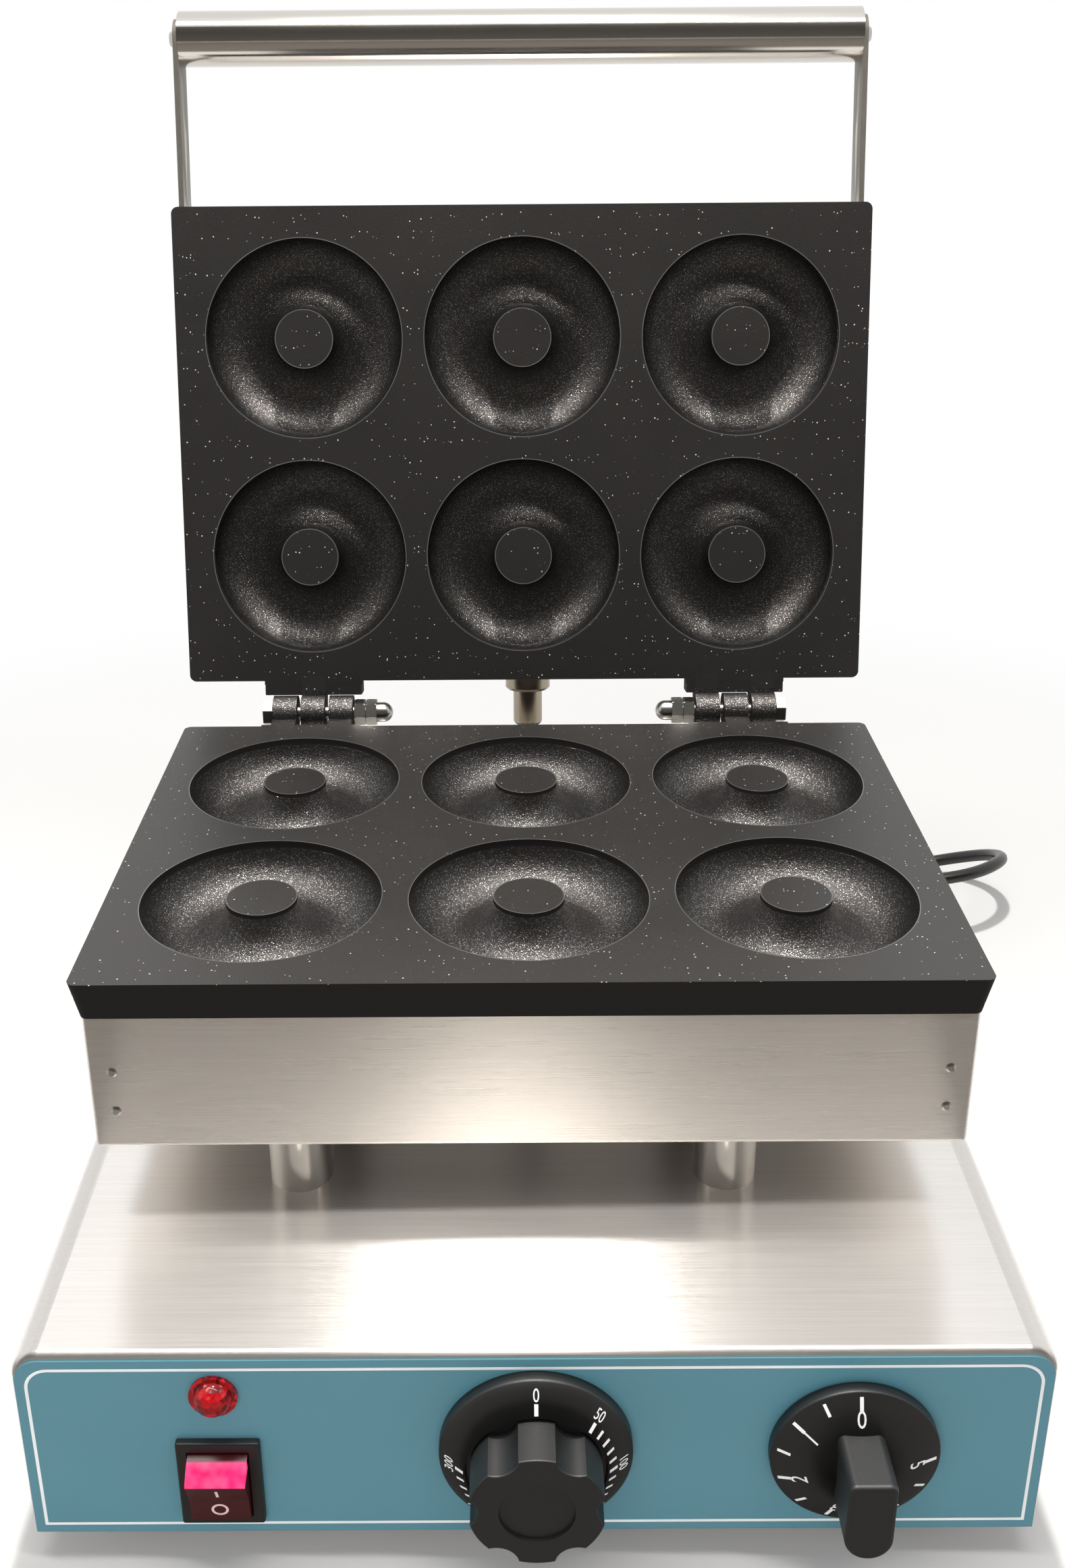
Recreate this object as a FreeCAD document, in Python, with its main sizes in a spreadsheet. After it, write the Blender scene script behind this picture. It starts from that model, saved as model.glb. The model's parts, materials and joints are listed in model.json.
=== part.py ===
import FreeCAD, Part
import math
import os
from types import SimpleNamespace

import Sketcher
from FreeCAD import Placement, Rotation, Vector

# A six-cavity donut maker with its lid open.
# X is to the right, Y to the back and Z up, in millimetres and degrees.
# While it is drawn, y = 0 is the front of the base shell and z = 0 the table.
# The two mould halves are drawn face up, with z = 0 on the plane where they part.

SIZES = {
    # Base box of folded sheet
    "base_width": 320.0,
    "base_depth": 290.0,
    "base_height": 74.0,
    "sheet": 1.2,
    "side_bend": 9.0,
    "front_bend": 2.0,
    "base_flange": 14.0,
    "cover_inset": 3.0,
    "vent_length": 46.0,
    "vent_width": 3.5,
    "vent_step": 9.0,
    # Feet
    "foot_height": 12.0,
    "foot_top_diameter": 30.0,
    "foot_bottom_diameter": 25.0,
    "foot_inset": 32.0,
    "foot_recess_diameter": 12.0,
    "foot_recess_depth": 5.0,
    # Control panel on the front of the base
    "panel_thickness": 0.6,
    "panel_side_inset": 1.2,
    "panel_top_inset": 2.6,
    "panel_bottom_inset": 0.8,
    # Columns between base and lower half
    "column_diameter": 22.0,
    "column_height": 29.6,
    "column_left": 80.0,
    "column_right": 67.8,
    "column_front": 82.8,
    "column_pitch": 150.0,
    "bolt_diameter": 6.0,
    "bolt_hole_play": 0.3,
    "nut_flats": 10.0,
    "nut_height": 5.0,
    # Mould plates
    "plate_front": 56.2,
    "plate_width": 293.0,
    "plate_depth": 201.5,
    "plate_thickness": 14.0,
    "plate_draft": 2.3,
    "plate_corner": 3.0,
    "face_gap": 0.8,
    "cavity_diameter": 83.0,
    "cavity_depth": 16.0,
    "cavity_pitch_across": 92.4,
    "cavity_pitch_back": 92.6,
    "cavity_ring_diameter": 55.0,
    "post_diameter": 24.6,
    "boss_wall": 3.0,
    "boss_depth": 6.5,
    "boss_round": 5.0,
    # Hinge
    "hinge_reach": 14.0,
    "hinge_centre": 92.4,
    "knuckle_width": 10.4,
    "knuckle_gap": 1.8,
    "knuckle_diameter": 15.0,
    "hinge_pad_proud": 1.6,
    "hinge_pad_margin": 4.0,
    "hinge_fit": 0.06,
    "hinge_head_height": 4.0,
    "hinge_play": 0.5,
    "open_angle": 102.0,
    # Housings under and over the plates
    "housing_height": 50.4,
    "housing_inset": 0.5,
    "housing_sheet": 1.2,
    "housing_corner": 1.6,
    "rivet_diameter": 3.6,
    "rivet_proud": 0.6,
    "rivet_side": 8.0,
    "rivet_low": 14.5,
    "rivet_step": 15.0,
    # Heating elements
    "heater_diameter": 8.0,
    "heater_bend": 42.0,
    "heater_leg": 176.0,
    "clamp_width": 14.0,
    "clamp_thickness": 3.0,
    # Handle
    "handle_reach": 286.6,
    "handle_diameter": 22.3,
    "handle_wall": 1.5,
    "handle_plug": 14.0,
    "bar_width": 16.0,
    "bar_thickness": 2.2,
    "bar_clear": 0.5,
    "bar_overlap": 72.0,
    "bar_screw_end": 14.0,
    "bar_screw_step": 42.0,
    "screw_diameter": 4.0,
    "screw_head_diameter": 9.0,
    "screw_head_height": 2.4,
    # Conduit fittings
    "conduit_offset": 2.0,
    "conduit_nut_diameter": 20.5,
    "conduit_nut_length": 14.0,
    "conduit_diameter": 13.3,
    "conduit_length": 17.0,
    "conduit_spigot": 12.0,
    "conduit_bore": 8.0,
    # Pilot lamp
    "lamp_x": -98.2,
    "lamp_above": 58.1,
    "lamp_diameter": 15.0,
    "lamp_rim": 1.4,
    "lamp_dome": 5.2,
    "lamp_body_diameter": 12.0,
    "lamp_body_length": 26.0,
    # Rocker switch
    "switch_x": -98.2,
    "switch_above": 23.5,
    "switch_width": 26.2,
    "switch_tall": 33.5,
    "switch_rim": 2.5,
    "switch_body_width": 22.0,
    "switch_body_tall": 29.6,
    "switch_body_depth": 22.0,
    "rocker_width": 18.6,
    "rocker_radius": 13.0,
    "rocker_pivot": 3.5,
    "rocker_corner_angle": 47.0,
    "rocker_valley": 7.6,
    "rocker_back": 1.2,
    "rocker_swing": 15.0,
    "rocker_play": 0.4,
    # Thermostat
    "thermostat_x": 0.5,
    "thermostat_above": 37.0,
    "scale_diameter": 60.0,
    "scale_thickness": 5.2,
    "scale_bevel": 1.8,
    "knob_diameter": 41.5,
    "knob_height": 19.2,
    "knob_ring": 3.4,
    "knob_ring_proud": 0.7,
    "knob_gap": 0.5,
    "flute_radius": 7.0,
    "flute_depth": 3.0,
    "flute_count": 6.0,
    "knob_dish_diameter": 23.0,
    "knob_dish_depth": 1.0,
    "shaft_diameter": 6.0,
    "shaft_fit": 0.06,
    "bush_diameter": 10.0,
    "thermostat_body_width": 38.0,
    "thermostat_body_tall": 34.0,
    "thermostat_body_depth": 27.0,
    "bulb_diameter": 6.0,
    "bulb_length": 90.0,
    # Timer
    "timer_x": 99.0,
    "timer_above": 36.0,
    "skirt_diameter": 52.5,
    "skirt_thickness": 3.8,
    "skirt_bevel": 1.6,
    "hub_diameter": 30.0,
    "hub_height": 9.0,
    "grip_width": 14.6,
    "grip_up": 13.8,
    "grip_down": 15.2,
    "grip_height": 27.6,
    "timer_body_width": 46.0,
    "timer_body_tall": 44.0,
    "timer_body_depth": 34.0,
    # Terminal block
    "terminal_length": 60.0,
    "terminal_width": 22.0,
    "terminal_height": 16.0,
    "terminal_well": 5.0,
    "terminal_count": 5.0,
    # Cord, plug and strain relief
    "cord_diameter": 6.6,
    "cord_exit_x": 105.0,
    "cord_exit_above": 30.0,
    "relief_collar_diameter": 18.0,
    "relief_collar": 4.0,
    "relief_root_diameter": 13.0,
    "relief_length": 31.0,
    "coil_turns_a_layer": 1.75,
    "coil_step": 7.4,
    "coil_layer": 7.2,
    "coil_outer_radius": 44.0,
    "tie_thickness": 1.0,
    "tie_width": 9.0,
    "tie_clear": 0.5,
    "plug_diameter": 36.0,
    "plug_length": 34.0,
    "plug_tail": 26.0,
    "pin_diameter": 4.8,
    "pin_length": 19.0,
    "pin_pitch": 19.0,
}

# Route of the free cord from the end of its strain relief: steps to the right and back, height over the table.
CORD_ROUTE = [
    (0, 0, 42),
    (1, 21, 41.5),
    (10, 41, 40),
    (31, 52, 37.5),
    (57, 54, 35.5),
    (84, 51, 34.5),
    (111, 49, 35.5),
    (139, 52.5, 38.5),
    (160, 73, 36),
    (161, 100, 24.5),
    (141, 118, 11.5),
    (109, 118, 4.8),
    (82, 116, 4.7),
    (55, 117, 4.8),
    (29, 116, 4.8),
    (4, 116, 4.9),
]

document = FreeCAD.newDocument("donut_maker")
sheet = document.addObject("Spreadsheet::Sheet", "Sizes")
for row, (alias, number) in enumerate(SIZES.items(), start=1):
    sheet.set(f"A{row}", alias)
    sheet.set(f"B{row}", str(number))
    sheet.setAlias(f"B{row}", alias)
document.recompute()


class Size(float):
    """A length or angle together with its formula in the sheet."""

    def __new__(cls, value, text):
        number = float.__new__(cls, value)
        number.text = text
        return number

    def __add__(self, other):
        return Size(float(self) + float(other), f"({self.text} + {formula(other)})")

    def __radd__(self, other):
        return Size(float(other) + float(self), f"({formula(other)} + {self.text})")

    def __sub__(self, other):
        return Size(float(self) - float(other), f"({self.text} - {formula(other)})")

    def __rsub__(self, other):
        return Size(float(other) - float(self), f"({formula(other)} - {self.text})")

    def __mul__(self, other):
        return Size(float(self) * float(other), f"({self.text} * {formula(other)})")

    def __rmul__(self, other):
        return Size(float(other) * float(self), f"({formula(other)} * {self.text})")

    def __truediv__(self, other):
        return Size(float(self) / float(other), f"({self.text} / {formula(other)})")

    def __neg__(self):
        return Size(-float(self), f"(-1 * {self.text})")


def formula(value):
    return value.text if isinstance(value, Size) else repr(float(value))


def cosine(angle):
    return Size(math.cos(math.radians(angle)), f"cos({formula(angle)} * 1 deg)")


def sine(angle):
    return Size(math.sin(math.radians(angle)), f"sin({formula(angle)} * 1 deg)")


d = SimpleNamespace(**{name: Size(sheet.get(name), f"Sizes.{name}") for name in SIZES})
pieces = []

# Levels and places that follow from the sizes
half_width = d.base_width / 2
base_bottom = d.foot_height
base_top = d.foot_height + d.base_height
panel_face = -d.panel_thickness
housing_floor = base_top + d.column_height
parting = housing_floor + d.housing_height + d.plate_thickness + d.face_gap / 2
face = -d.face_gap / 2
plate_back = face - d.plate_thickness
housing_end = plate_back - d.housing_height
plate_rear = d.plate_front + d.plate_depth
plate_middle = d.plate_front + d.plate_depth / 2
hinge_y = plate_rear + d.hinge_reach
housing_gap = d.plate_draft + d.housing_inset
housing_half = d.plate_width / 2 - housing_gap
housing_front = d.plate_front + housing_gap
housing_rear = plate_rear - housing_gap
heater_centre = plate_back - d.boss_depth - d.heater_diameter / 2
clamp_top = heater_centre - d.heater_diameter / 2
bar_middle = plate_back - d.bar_clear - d.bar_width / 2
handle_y = hinge_y - d.handle_reach
conduit_z = plate_back - d.housing_height / 2
bolt_hole = d.bolt_diameter / 2 + d.bolt_hole_play
screw_hole = d.screw_diameter / 2 + d.bolt_hole_play
rear_face = d.base_depth + d.sheet

# The origin is under the middle of the open machine, from the timer grip to the back of the lid.
front_reach = d.panel_thickness + d.knob_gap + d.grip_height
lid_top_back = Vector(0, housing_front - hinge_y, -housing_end)
opened = Rotation(Vector(1, 0, 0), -d.open_angle)
rear_reach = hinge_y + opened.multVec(lid_top_back).y
origin_y = (rear_reach - front_reach) / 2

ROOT = Placement(Vector(0, -origin_y, 0), Rotation())
LOWER = Placement(Vector(0, -origin_y, parting), Rotation())
UPPER = (
    Placement(Vector(0, hinge_y - origin_y, parting), opened)
    * Placement(Vector(), Rotation(Vector(0, 1, 0), 180))
    * Placement(Vector(0, -hinge_y, 0), Rotation())
)
TO_FRONT = Rotation(Vector(1, 0, 0), 90)
TO_BACK = Rotation(Vector(1, 0, 0), -90)
TO_RIGHT = Rotation(Vector(0, 1, 0), 90)
TO_LEFT = Rotation(Vector(0, 1, 0), -90)


def bind(thing, path, value):
    thing.setExpression(path, formula(value))


def named(thing, label, place):
    thing.Label = label
    thing.Placement = place
    pieces.append(thing)
    return thing


# Bodies made from sketches


def new_body(label, place=ROOT):
    return named(document.addObject("PartDesign::Body", label), label, place)


def plane_of(body, role):
    return next(plane for plane in body.Origin.OriginFeatures if plane.Role == role)


def new_sketch(body, role, level=0.0, right=0.0, up=0.0):
    """A sketch on XY (level = z), XZ (level = y, seen from the front) or YZ (level = x)."""
    sketch = body.newObject("Sketcher::SketchObject", "outline")
    sketch.AttachmentSupport = [(plane_of(body, role + "_Plane"), "")]
    sketch.MapMode = "FlatFace"
    bind(sketch, "AttachmentOffset.Base.x", right)
    bind(sketch, "AttachmentOffset.Base.y", up)
    bind(sketch, "AttachmentOffset.Base.z", -level if role == "XZ" else level)
    return sketch


def hold(sketch, kind, value, *where):
    """One constraint, tied to the sheet where its value comes from there."""
    index = sketch.addConstraint(Sketcher.Constraint(kind, *where, float(value)))
    if isinstance(value, Size):
        sketch.renameConstraint(index, f"size_{index}")
        sketch.setExpression(f"Constraints.size_{index}", value.text)


def hold_point(sketch, curve, end, x, y):
    hold(sketch, "DistanceX", x, -1, 1, curve, end)
    hold(sketch, "DistanceY", y, -1, 1, curve, end)


def arc_between(start, end, radius, side):
    """An arc whose centre is to the left (1) or the right (-1) of the way from start to end."""
    chord = end - start
    rise = math.sqrt(max(radius**2 - (chord.Length / 2) ** 2, 0.0))
    across = Vector(-chord.y, chord.x, 0).normalize() * side
    centre = (start + end) / 2 + across * rise
    first, last = (start - centre, end - centre) if side > 0 else (end - centre, start - centre)
    circle = Part.Circle(centre, Vector(0, 0, 1), float(radius))
    return Part.ArcOfCircle(circle, math.atan2(first.y, first.x), math.atan2(last.y, last.x))


def draw(sketch, points):
    """A closed outline of (x, y) corners; (x, y, radius, side) ends an arc instead of a line."""
    curves = []
    starts = [points[-1], *points[:-1]]
    for before, point in zip(starts, points):
        start = Vector(before[0], before[1], 0)
        end = Vector(point[0], point[1], 0)
        if len(point) == 2:
            curve = sketch.addGeometry(Part.LineSegment(start, end), False)
            ends = (1, 2)
        else:
            curve = sketch.addGeometry(arc_between(start, end, *point[2:]), False)
            ends = (1, 2) if point[3] > 0 else (2, 1)
        curves.append((curve, *ends))
    for (curve, _, end), (following, start, _) in zip(curves, [*curves[1:], curves[0]]):
        sketch.addConstraint(Sketcher.Constraint("Coincident", curve, end, following, start))
    for (curve, _, end), point in zip(curves, points):
        hold_point(sketch, curve, end, point[0], point[1])
        if len(point) > 2:
            hold(sketch, "Radius", point[2], curve)


def draw_box(sketch, left, right, low, high):
    draw(sketch, [(left, low), (right, low), (right, high), (left, high)])


def draw_circle(sketch, x, y, radius):
    curve = sketch.addGeometry(Part.Circle(Vector(x, y, 0), Vector(0, 0, 1), float(radius)), False)
    hold_point(sketch, curve, 3, x, y)
    hold(sketch, "Radius", radius, curve)


def pad(body, sketch, length, backwards=False):
    feature = body.newObject("PartDesign::Pad", "pad")
    feature.Profile = sketch
    feature.Reversed = backwards
    bind(feature, "Length", length)
    return feature


def pocket(body, sketch, length, backwards=False):
    feature = body.newObject("PartDesign::Pocket", "pocket")
    feature.Profile = sketch
    feature.Reversed = backwards
    bind(feature, "Length", length)
    return feature


def turn(body, sketch, kind="Revolution"):
    feature = body.newObject("PartDesign::" + kind, kind.lower())
    feature.Profile = sketch
    feature.ReferenceAxis = (sketch, ["V_Axis"])
    feature.Angle = 360
    return feature


def soften(body, radius, wanted, kind="Fillet"):
    """Round (or chamfer) the edges of the body so far that the wanted function picks."""
    document.recompute()
    base = body.Tip
    names = [f"Edge{i}" for i, edge in enumerate(base.Shape.Edges, start=1) if wanted(edge)]
    feature = body.newObject("PartDesign::" + kind, kind.lower())
    feature.Base = (base, names)
    bind(feature, "Radius" if kind == "Fillet" else "Size", radius)
    return feature


def runs_along(edge, axis):
    box = edge.BoundBox
    spans = {"x": box.XLength, "y": box.YLength, "z": box.ZLength}
    long = spans.pop(axis)
    return long > 1e-6 and max(spans.values()) < 1e-6


def at(value, level):
    return abs(value - level) < 1e-4


def turned(label, profile, place):
    """A piece turned on a lathe: (radius, height) corners about its own Z axis."""
    body = new_body(label, place)
    sketch = new_sketch(body, "XZ")
    draw(sketch, profile)
    turn(body, sketch)
    return body


# Pieces made from solids


def solid(kind, place, **sizes):
    thing = document.addObject("Part::" + kind, kind.lower())
    for name, value in sizes.items():
        bind(thing, name, value)
    thing.Placement = place
    return thing


def rod(radius, length, x, y, z, way=None):
    return solid("Cylinder", Placement(Vector(x, y, z), way or Rotation()), Radius=radius, Height=length)


def hexagon(length, x, y, z, way=None):
    place = Placement(Vector(x, y, z), way or Rotation())
    thing = solid("Prism", place, Circumradius=d.nut_flats / math.sqrt(3), Height=length)
    thing.Polygon = 6
    return thing


def cone(first, last, length, x, y, z, way=None):
    place = Placement(Vector(x, y, z), way or Rotation())
    return solid("Cone", place, Radius1=first, Radius2=last, Height=length)


def fuse(label, parts, place=ROOT):
    thing = document.addObject("Part::MultiFuse", label)
    thing.Shapes = parts
    thing.Refine = True
    return named(thing, label, place)


def cut(label, base, tool, place=ROOT):
    thing = document.addObject("Part::Cut", label)
    thing.Base = base
    thing.Tool = tool
    return named(thing, label, place)


# Places that several pieces share

foot_places = {
    f"{row}_{side}": (x, y)
    for row, y in (("front", d.foot_inset), ("rear", d.base_depth - d.foot_inset))
    for side, x in (("left", d.foot_inset - half_width), ("right", half_width - d.foot_inset))
}
column_places = {
    f"{row}_{side}": (x, y)
    for row, y in (("front", d.column_front), ("rear", d.column_front + d.column_pitch))
    for side, x in (("left", -d.column_left), ("right", d.column_right))
}
cavity_columns = [-d.cavity_pitch_across, 0.0, d.cavity_pitch_across]
cavity_rows = [plate_middle - d.cavity_pitch_back / 2, plate_middle + d.cavity_pitch_back / 2]
rear_screws = [
    (side * (half_width - d.base_flange / 2), base_bottom + share * d.base_height)
    for side in (-1, 1)
    for share in (0.25, 0.75)
]
conduit_base_y = (housing_rear + d.base_depth) / 2


def front_outline(side_inset, bottom_inset, top_inset):
    """The front of the base: square below, with the side bends' round corners above."""
    side = half_width - side_inset
    low = base_bottom + bottom_inset
    top = base_top - top_inset
    bend = d.side_bend - side_inset
    return [
        (-side, low),
        (-side, top - bend),
        (-side + bend, top, bend, -1),
        (side - bend, top),
        (side, top - bend, bend, -1),
        (side, low),
    ]


def draw_control_holes(sketch):
    bush = d.bush_diameter / 2 + d.bolt_hole_play
    draw_circle(sketch, d.lamp_x, base_bottom + d.lamp_above, d.lamp_body_diameter / 2 + d.bolt_hole_play)
    draw_circle(sketch, d.thermostat_x, base_bottom + d.thermostat_above, bush)
    draw_circle(sketch, d.timer_x, base_bottom + d.timer_above, bush)
    wide = d.switch_body_width / 2 + d.bolt_hole_play
    tall = d.switch_body_tall / 2 + d.bolt_hole_play
    middle = base_bottom + d.switch_above
    draw_box(sketch, d.switch_x - wide, d.switch_x + wide, middle - tall, middle + tall)


# Base


def make_base_shell():
    body = new_body("base_shell")
    outer = new_sketch(body, "XZ")
    draw(outer, front_outline(0.0, 0.0, 0.0))
    pad(body, outer, d.base_depth, backwards=True)
    soften(body, d.front_bend, lambda e: at(e.BoundBox.YMax, 0) and not at(e.BoundBox.ZMax, base_bottom))
    inside = new_sketch(body, "XZ", d.sheet)
    draw(inside, front_outline(d.sheet, 0.0, d.sheet))
    pocket(body, inside, d.base_depth - d.sheet * 2)
    rear = new_sketch(body, "XZ", d.base_depth)
    opening = half_width - d.base_flange
    draw_box(rear, -opening, opening, base_bottom, base_top - d.base_flange)
    pocket(body, rear, d.sheet, backwards=True)
    screws = new_sketch(body, "XZ", d.base_depth)
    for x, z in rear_screws:
        draw_circle(screws, x, z, screw_hole)
    pocket(body, screws, d.sheet, backwards=True)
    flange = new_sketch(body, "XY", base_bottom)
    edge = d.sheet / 2
    draw_box(flange, edge - half_width, half_width - edge, edge, d.base_depth - edge)
    draw_box(flange, -opening, opening, d.base_flange, d.base_depth - d.base_flange)
    pad(body, flange, d.sheet)
    controls = new_sketch(body, "XZ")
    draw_control_holes(controls)
    pocket(body, controls, d.sheet)
    top = new_sketch(body, "XY", base_top)
    for x, y in column_places.values():
        draw_circle(top, x, y, bolt_hole)
    draw_circle(top, 0.0, plate_middle, d.conduit_bore / 2)
    draw_circle(top, d.conduit_offset, conduit_base_y, d.conduit_spigot / 2 + d.bolt_hole_play)
    pocket(body, top, d.sheet)


def make_control_panel():
    body = new_body("control_panel")
    outline = new_sketch(body, "XZ")
    draw(outline, front_outline(d.panel_side_inset, d.panel_bottom_inset, d.panel_top_inset))
    pad(body, outline, d.panel_thickness)
    holes = new_sketch(body, "XZ")
    draw_control_holes(holes)
    pocket(body, holes, d.panel_thickness, backwards=True)


def make_rear_panel():
    body = new_body("rear_panel")
    outline = new_sketch(body, "XZ", d.base_depth)
    draw(outline, front_outline(d.cover_inset, d.cover_inset, d.cover_inset))
    pad(body, outline, d.sheet, backwards=True)
    holes = new_sketch(body, "XZ", d.base_depth)
    for x, z in rear_screws:
        draw_circle(holes, x, z, screw_hole)
    draw_circle(holes, d.cord_exit_x, base_bottom + d.cord_exit_above, d.cord_diameter / 2 + d.bolt_hole_play)
    pocket(body, holes, d.sheet)
    slot = new_sketch(body, "XZ", d.base_depth)
    low = base_bottom + d.base_height / 3
    draw_box(slot, -d.vent_length, d.vent_length, low, low + d.vent_width)
    first = pocket(body, slot, d.sheet)
    repeat(body, first, (slot, ["V_Axis"]), d.vent_step * 3, 4)


def repeat(body, feature, way, length, count):
    document.recompute()
    pattern = body.newObject("PartDesign::LinearPattern", "pattern")
    pattern.Originals = [feature]
    pattern.Direction = way
    pattern.Occurrences = count
    bind(pattern, "Length", length)
    body.Tip = pattern
    return pattern


def make_bottom_cover():
    body = new_body("bottom_cover")
    outline = new_sketch(body, "XY", base_bottom - d.sheet)
    wide = half_width - d.cover_inset
    draw_box(outline, -wide, wide, d.cover_inset, d.base_depth - d.cover_inset)
    pad(body, outline, d.sheet)
    holes = new_sketch(body, "XY", base_bottom)
    for x, y in foot_places.values():
        draw_circle(holes, x, y, screw_hole)
    pocket(body, holes, d.sheet)
    slot = new_sketch(body, "XY", base_bottom)
    front = d.base_depth / 2 - d.vent_step * 3
    draw_box(slot, -d.vent_length, d.vent_length, front, front + d.vent_width)
    first = pocket(body, slot, d.sheet)
    repeat(body, first, (slot, ["V_Axis"]), d.vent_step * 6, 7)


def make_feet():
    height = base_bottom - d.sheet
    hole = screw_hole
    recess = d.foot_recess_diameter / 2
    profile = [
        (hole, height),
        (hole, d.foot_recess_depth),
        (recess, d.foot_recess_depth),
        (recess, 0.0),
        (d.foot_bottom_diameter / 2, 0.0),
        (d.foot_top_diameter / 2, height),
    ]
    screws = []
    for name, (x, y) in foot_places.items():
        turned(f"foot_{name}", profile, ROOT * Placement(Vector(x, y, 0), Rotation()))
        head = d.foot_recess_depth - d.screw_head_height
        screws.append(rod(d.screw_head_diameter / 2, d.screw_head_height, x, y, head))
        screws.append(rod(d.screw_diameter / 2, base_bottom, x, y, d.foot_recess_depth))
    fuse("foot_screws", screws)


def make_rear_screws():
    screws = []
    for x, z in rear_screws:
        screws.append(rod(d.screw_diameter / 2, d.sheet * 2 + d.nut_height, x, rear_face, z, TO_FRONT))
        head = d.screw_head_diameter / 2
        screws.append(cone(head, head * 0.6, d.screw_head_height, x, rear_face, z, TO_BACK))
    fuse("rear_panel_screws", screws)


def make_columns():
    bolts = []
    for name, (x, y) in column_places.items():
        outside = rod(d.column_diameter / 2, d.column_height, x, y, base_top)
        bore = rod(bolt_hole, d.column_height, x, y, base_top)
        cut(f"column_{name}", outside, bore)
        low = base_top - d.sheet - d.nut_height
        high = housing_floor + d.housing_sheet
        bolts.append(rod(d.bolt_diameter / 2, high - low + d.nut_height, x, y, low))
        bolts.append(hexagon(d.nut_height, x, y, low))
        bolts.append(hexagon(d.nut_height, x, y, high))
    fuse("column_bolts", bolts)


# Mould halves


def make_housing(label, place, floor_holes, side_holes, rear_holes):
    body = new_body(label, place)
    outer = new_sketch(body, "XY", housing_end)
    draw_box(outer, -housing_half, housing_half, housing_front, housing_rear)
    pad(body, outer, d.housing_height)
    soften(body, d.housing_corner, lambda e: runs_along(e, "z") or at(e.BoundBox.ZMax, housing_end))
    inner = new_sketch(body, "XY", plate_back)
    wall = d.housing_sheet
    draw_box(inner, wall - housing_half, housing_half - wall, housing_front + wall, housing_rear - wall)
    pocket(body, inner, d.housing_height - wall)
    if floor_holes:
        floor = new_sketch(body, "XY", housing_end)
        for x, y, radius in floor_holes:
            draw_circle(floor, x, y, radius)
        pocket(body, floor, wall, backwards=True)
    if side_holes:
        sides = new_sketch(body, "YZ", -housing_half)
        for y, z, radius in side_holes:
            draw_circle(sides, y, z, radius)
        pocket(body, sides, housing_half * 2, backwards=True)
    if rear_holes:
        rear = new_sketch(body, "XZ", housing_rear)
        for x, z, radius in rear_holes:
            draw_circle(rear, x, z, radius)
        pocket(body, rear, wall, backwards=True)


def make_mould_plate(label, place):
    """One casting for both halves: two knuckles at its left, one at its right."""
    body = new_body(label, place)
    top = new_sketch(body, "XY", face)
    draw_box(top, -d.plate_width / 2, d.plate_width / 2, d.plate_front, plate_rear)
    low = new_sketch(body, "XY", plate_back)
    wide = d.plate_width / 2 - d.plate_draft
    draw_box(low, -wide, wide, d.plate_front + d.plate_draft, plate_rear - d.plate_draft)
    slab = body.newObject("PartDesign::AdditiveLoft", "slab")
    slab.Profile = top
    slab.Sections = [low]
    slab.Ruled = True
    soften(body, d.plate_corner, lambda e: e.BoundBox.ZLength > d.plate_thickness / 2)
    bosses = new_sketch(body, "XY", plate_back)
    for x in cavity_columns:
        for y in cavity_rows:
            draw_circle(bosses, x, y, d.cavity_diameter / 2 + d.boss_wall)
    pad(body, bosses, d.boss_depth, backwards=True)
    soften(body, d.boss_round, lambda e: at(e.BoundBox.ZMax, plate_back - d.boss_depth))
    make_hinge_knuckles(body)
    for y in cavity_rows:
        make_cavity_row(body, y)


def make_hinge_knuckles(body):
    step = d.knuckle_width + d.knuckle_gap
    stack = d.knuckle_width * 1.5 + d.knuckle_gap + d.hinge_pad_margin
    for side in (-1, 1):
        lip = new_sketch(body, "YZ", side * d.hinge_centre - stack)
        inner = plate_rear - d.plate_draft
        draw_box(lip, inner - d.plate_draft, plate_rear + d.hinge_pad_proud, plate_back / 2, face)
        pad(body, lip, stack * 2)
    round_end = d.knuckle_diameter / 2
    inner = plate_rear - d.plate_draft
    for middle in (-d.hinge_centre - step, -d.hinge_centre + step, d.hinge_centre):
        arm = new_sketch(body, "YZ", middle - d.knuckle_width / 2)
        draw(arm, [
            (inner, face),
            (inner, plate_back * 0.8),
            (hinge_y, -round_end),
            (hinge_y + round_end, 0.0, round_end, 1),
            (hinge_y, round_end, round_end, 1),
            (hinge_y - round_end, 0.0, round_end, 1),
        ])
        pad(body, arm, d.knuckle_width)
    bore = new_sketch(body, "YZ", -half_width)
    draw_circle(bore, hinge_y, 0.0, d.bolt_diameter / 2 + d.hinge_fit)
    pocket(body, bore, d.base_width, backwards=True)


def make_cavity_row(body, y):
    """Three ring-shaped cavities, each a groove round a post."""
    groove = new_sketch(body, "XZ", y, right=-d.cavity_pitch_across, up=face)
    post = d.post_diameter / 2
    ring = d.cavity_ring_diameter / 2
    rim = d.cavity_diameter / 2
    inner = ring - post
    outer = rim - ring
    above = d.face_gap
    draw(groove, [
        (post, above),
        (post, inner - d.cavity_depth),
        (ring, -d.cavity_depth, inner, 1),
        (rim, outer - d.cavity_depth, outer, 1),
        (rim, above),
    ])
    first = turn(body, groove, "Groove")
    repeat(body, first, (groove, ["H_Axis"]), d.cavity_pitch_across * 2, 3)


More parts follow.
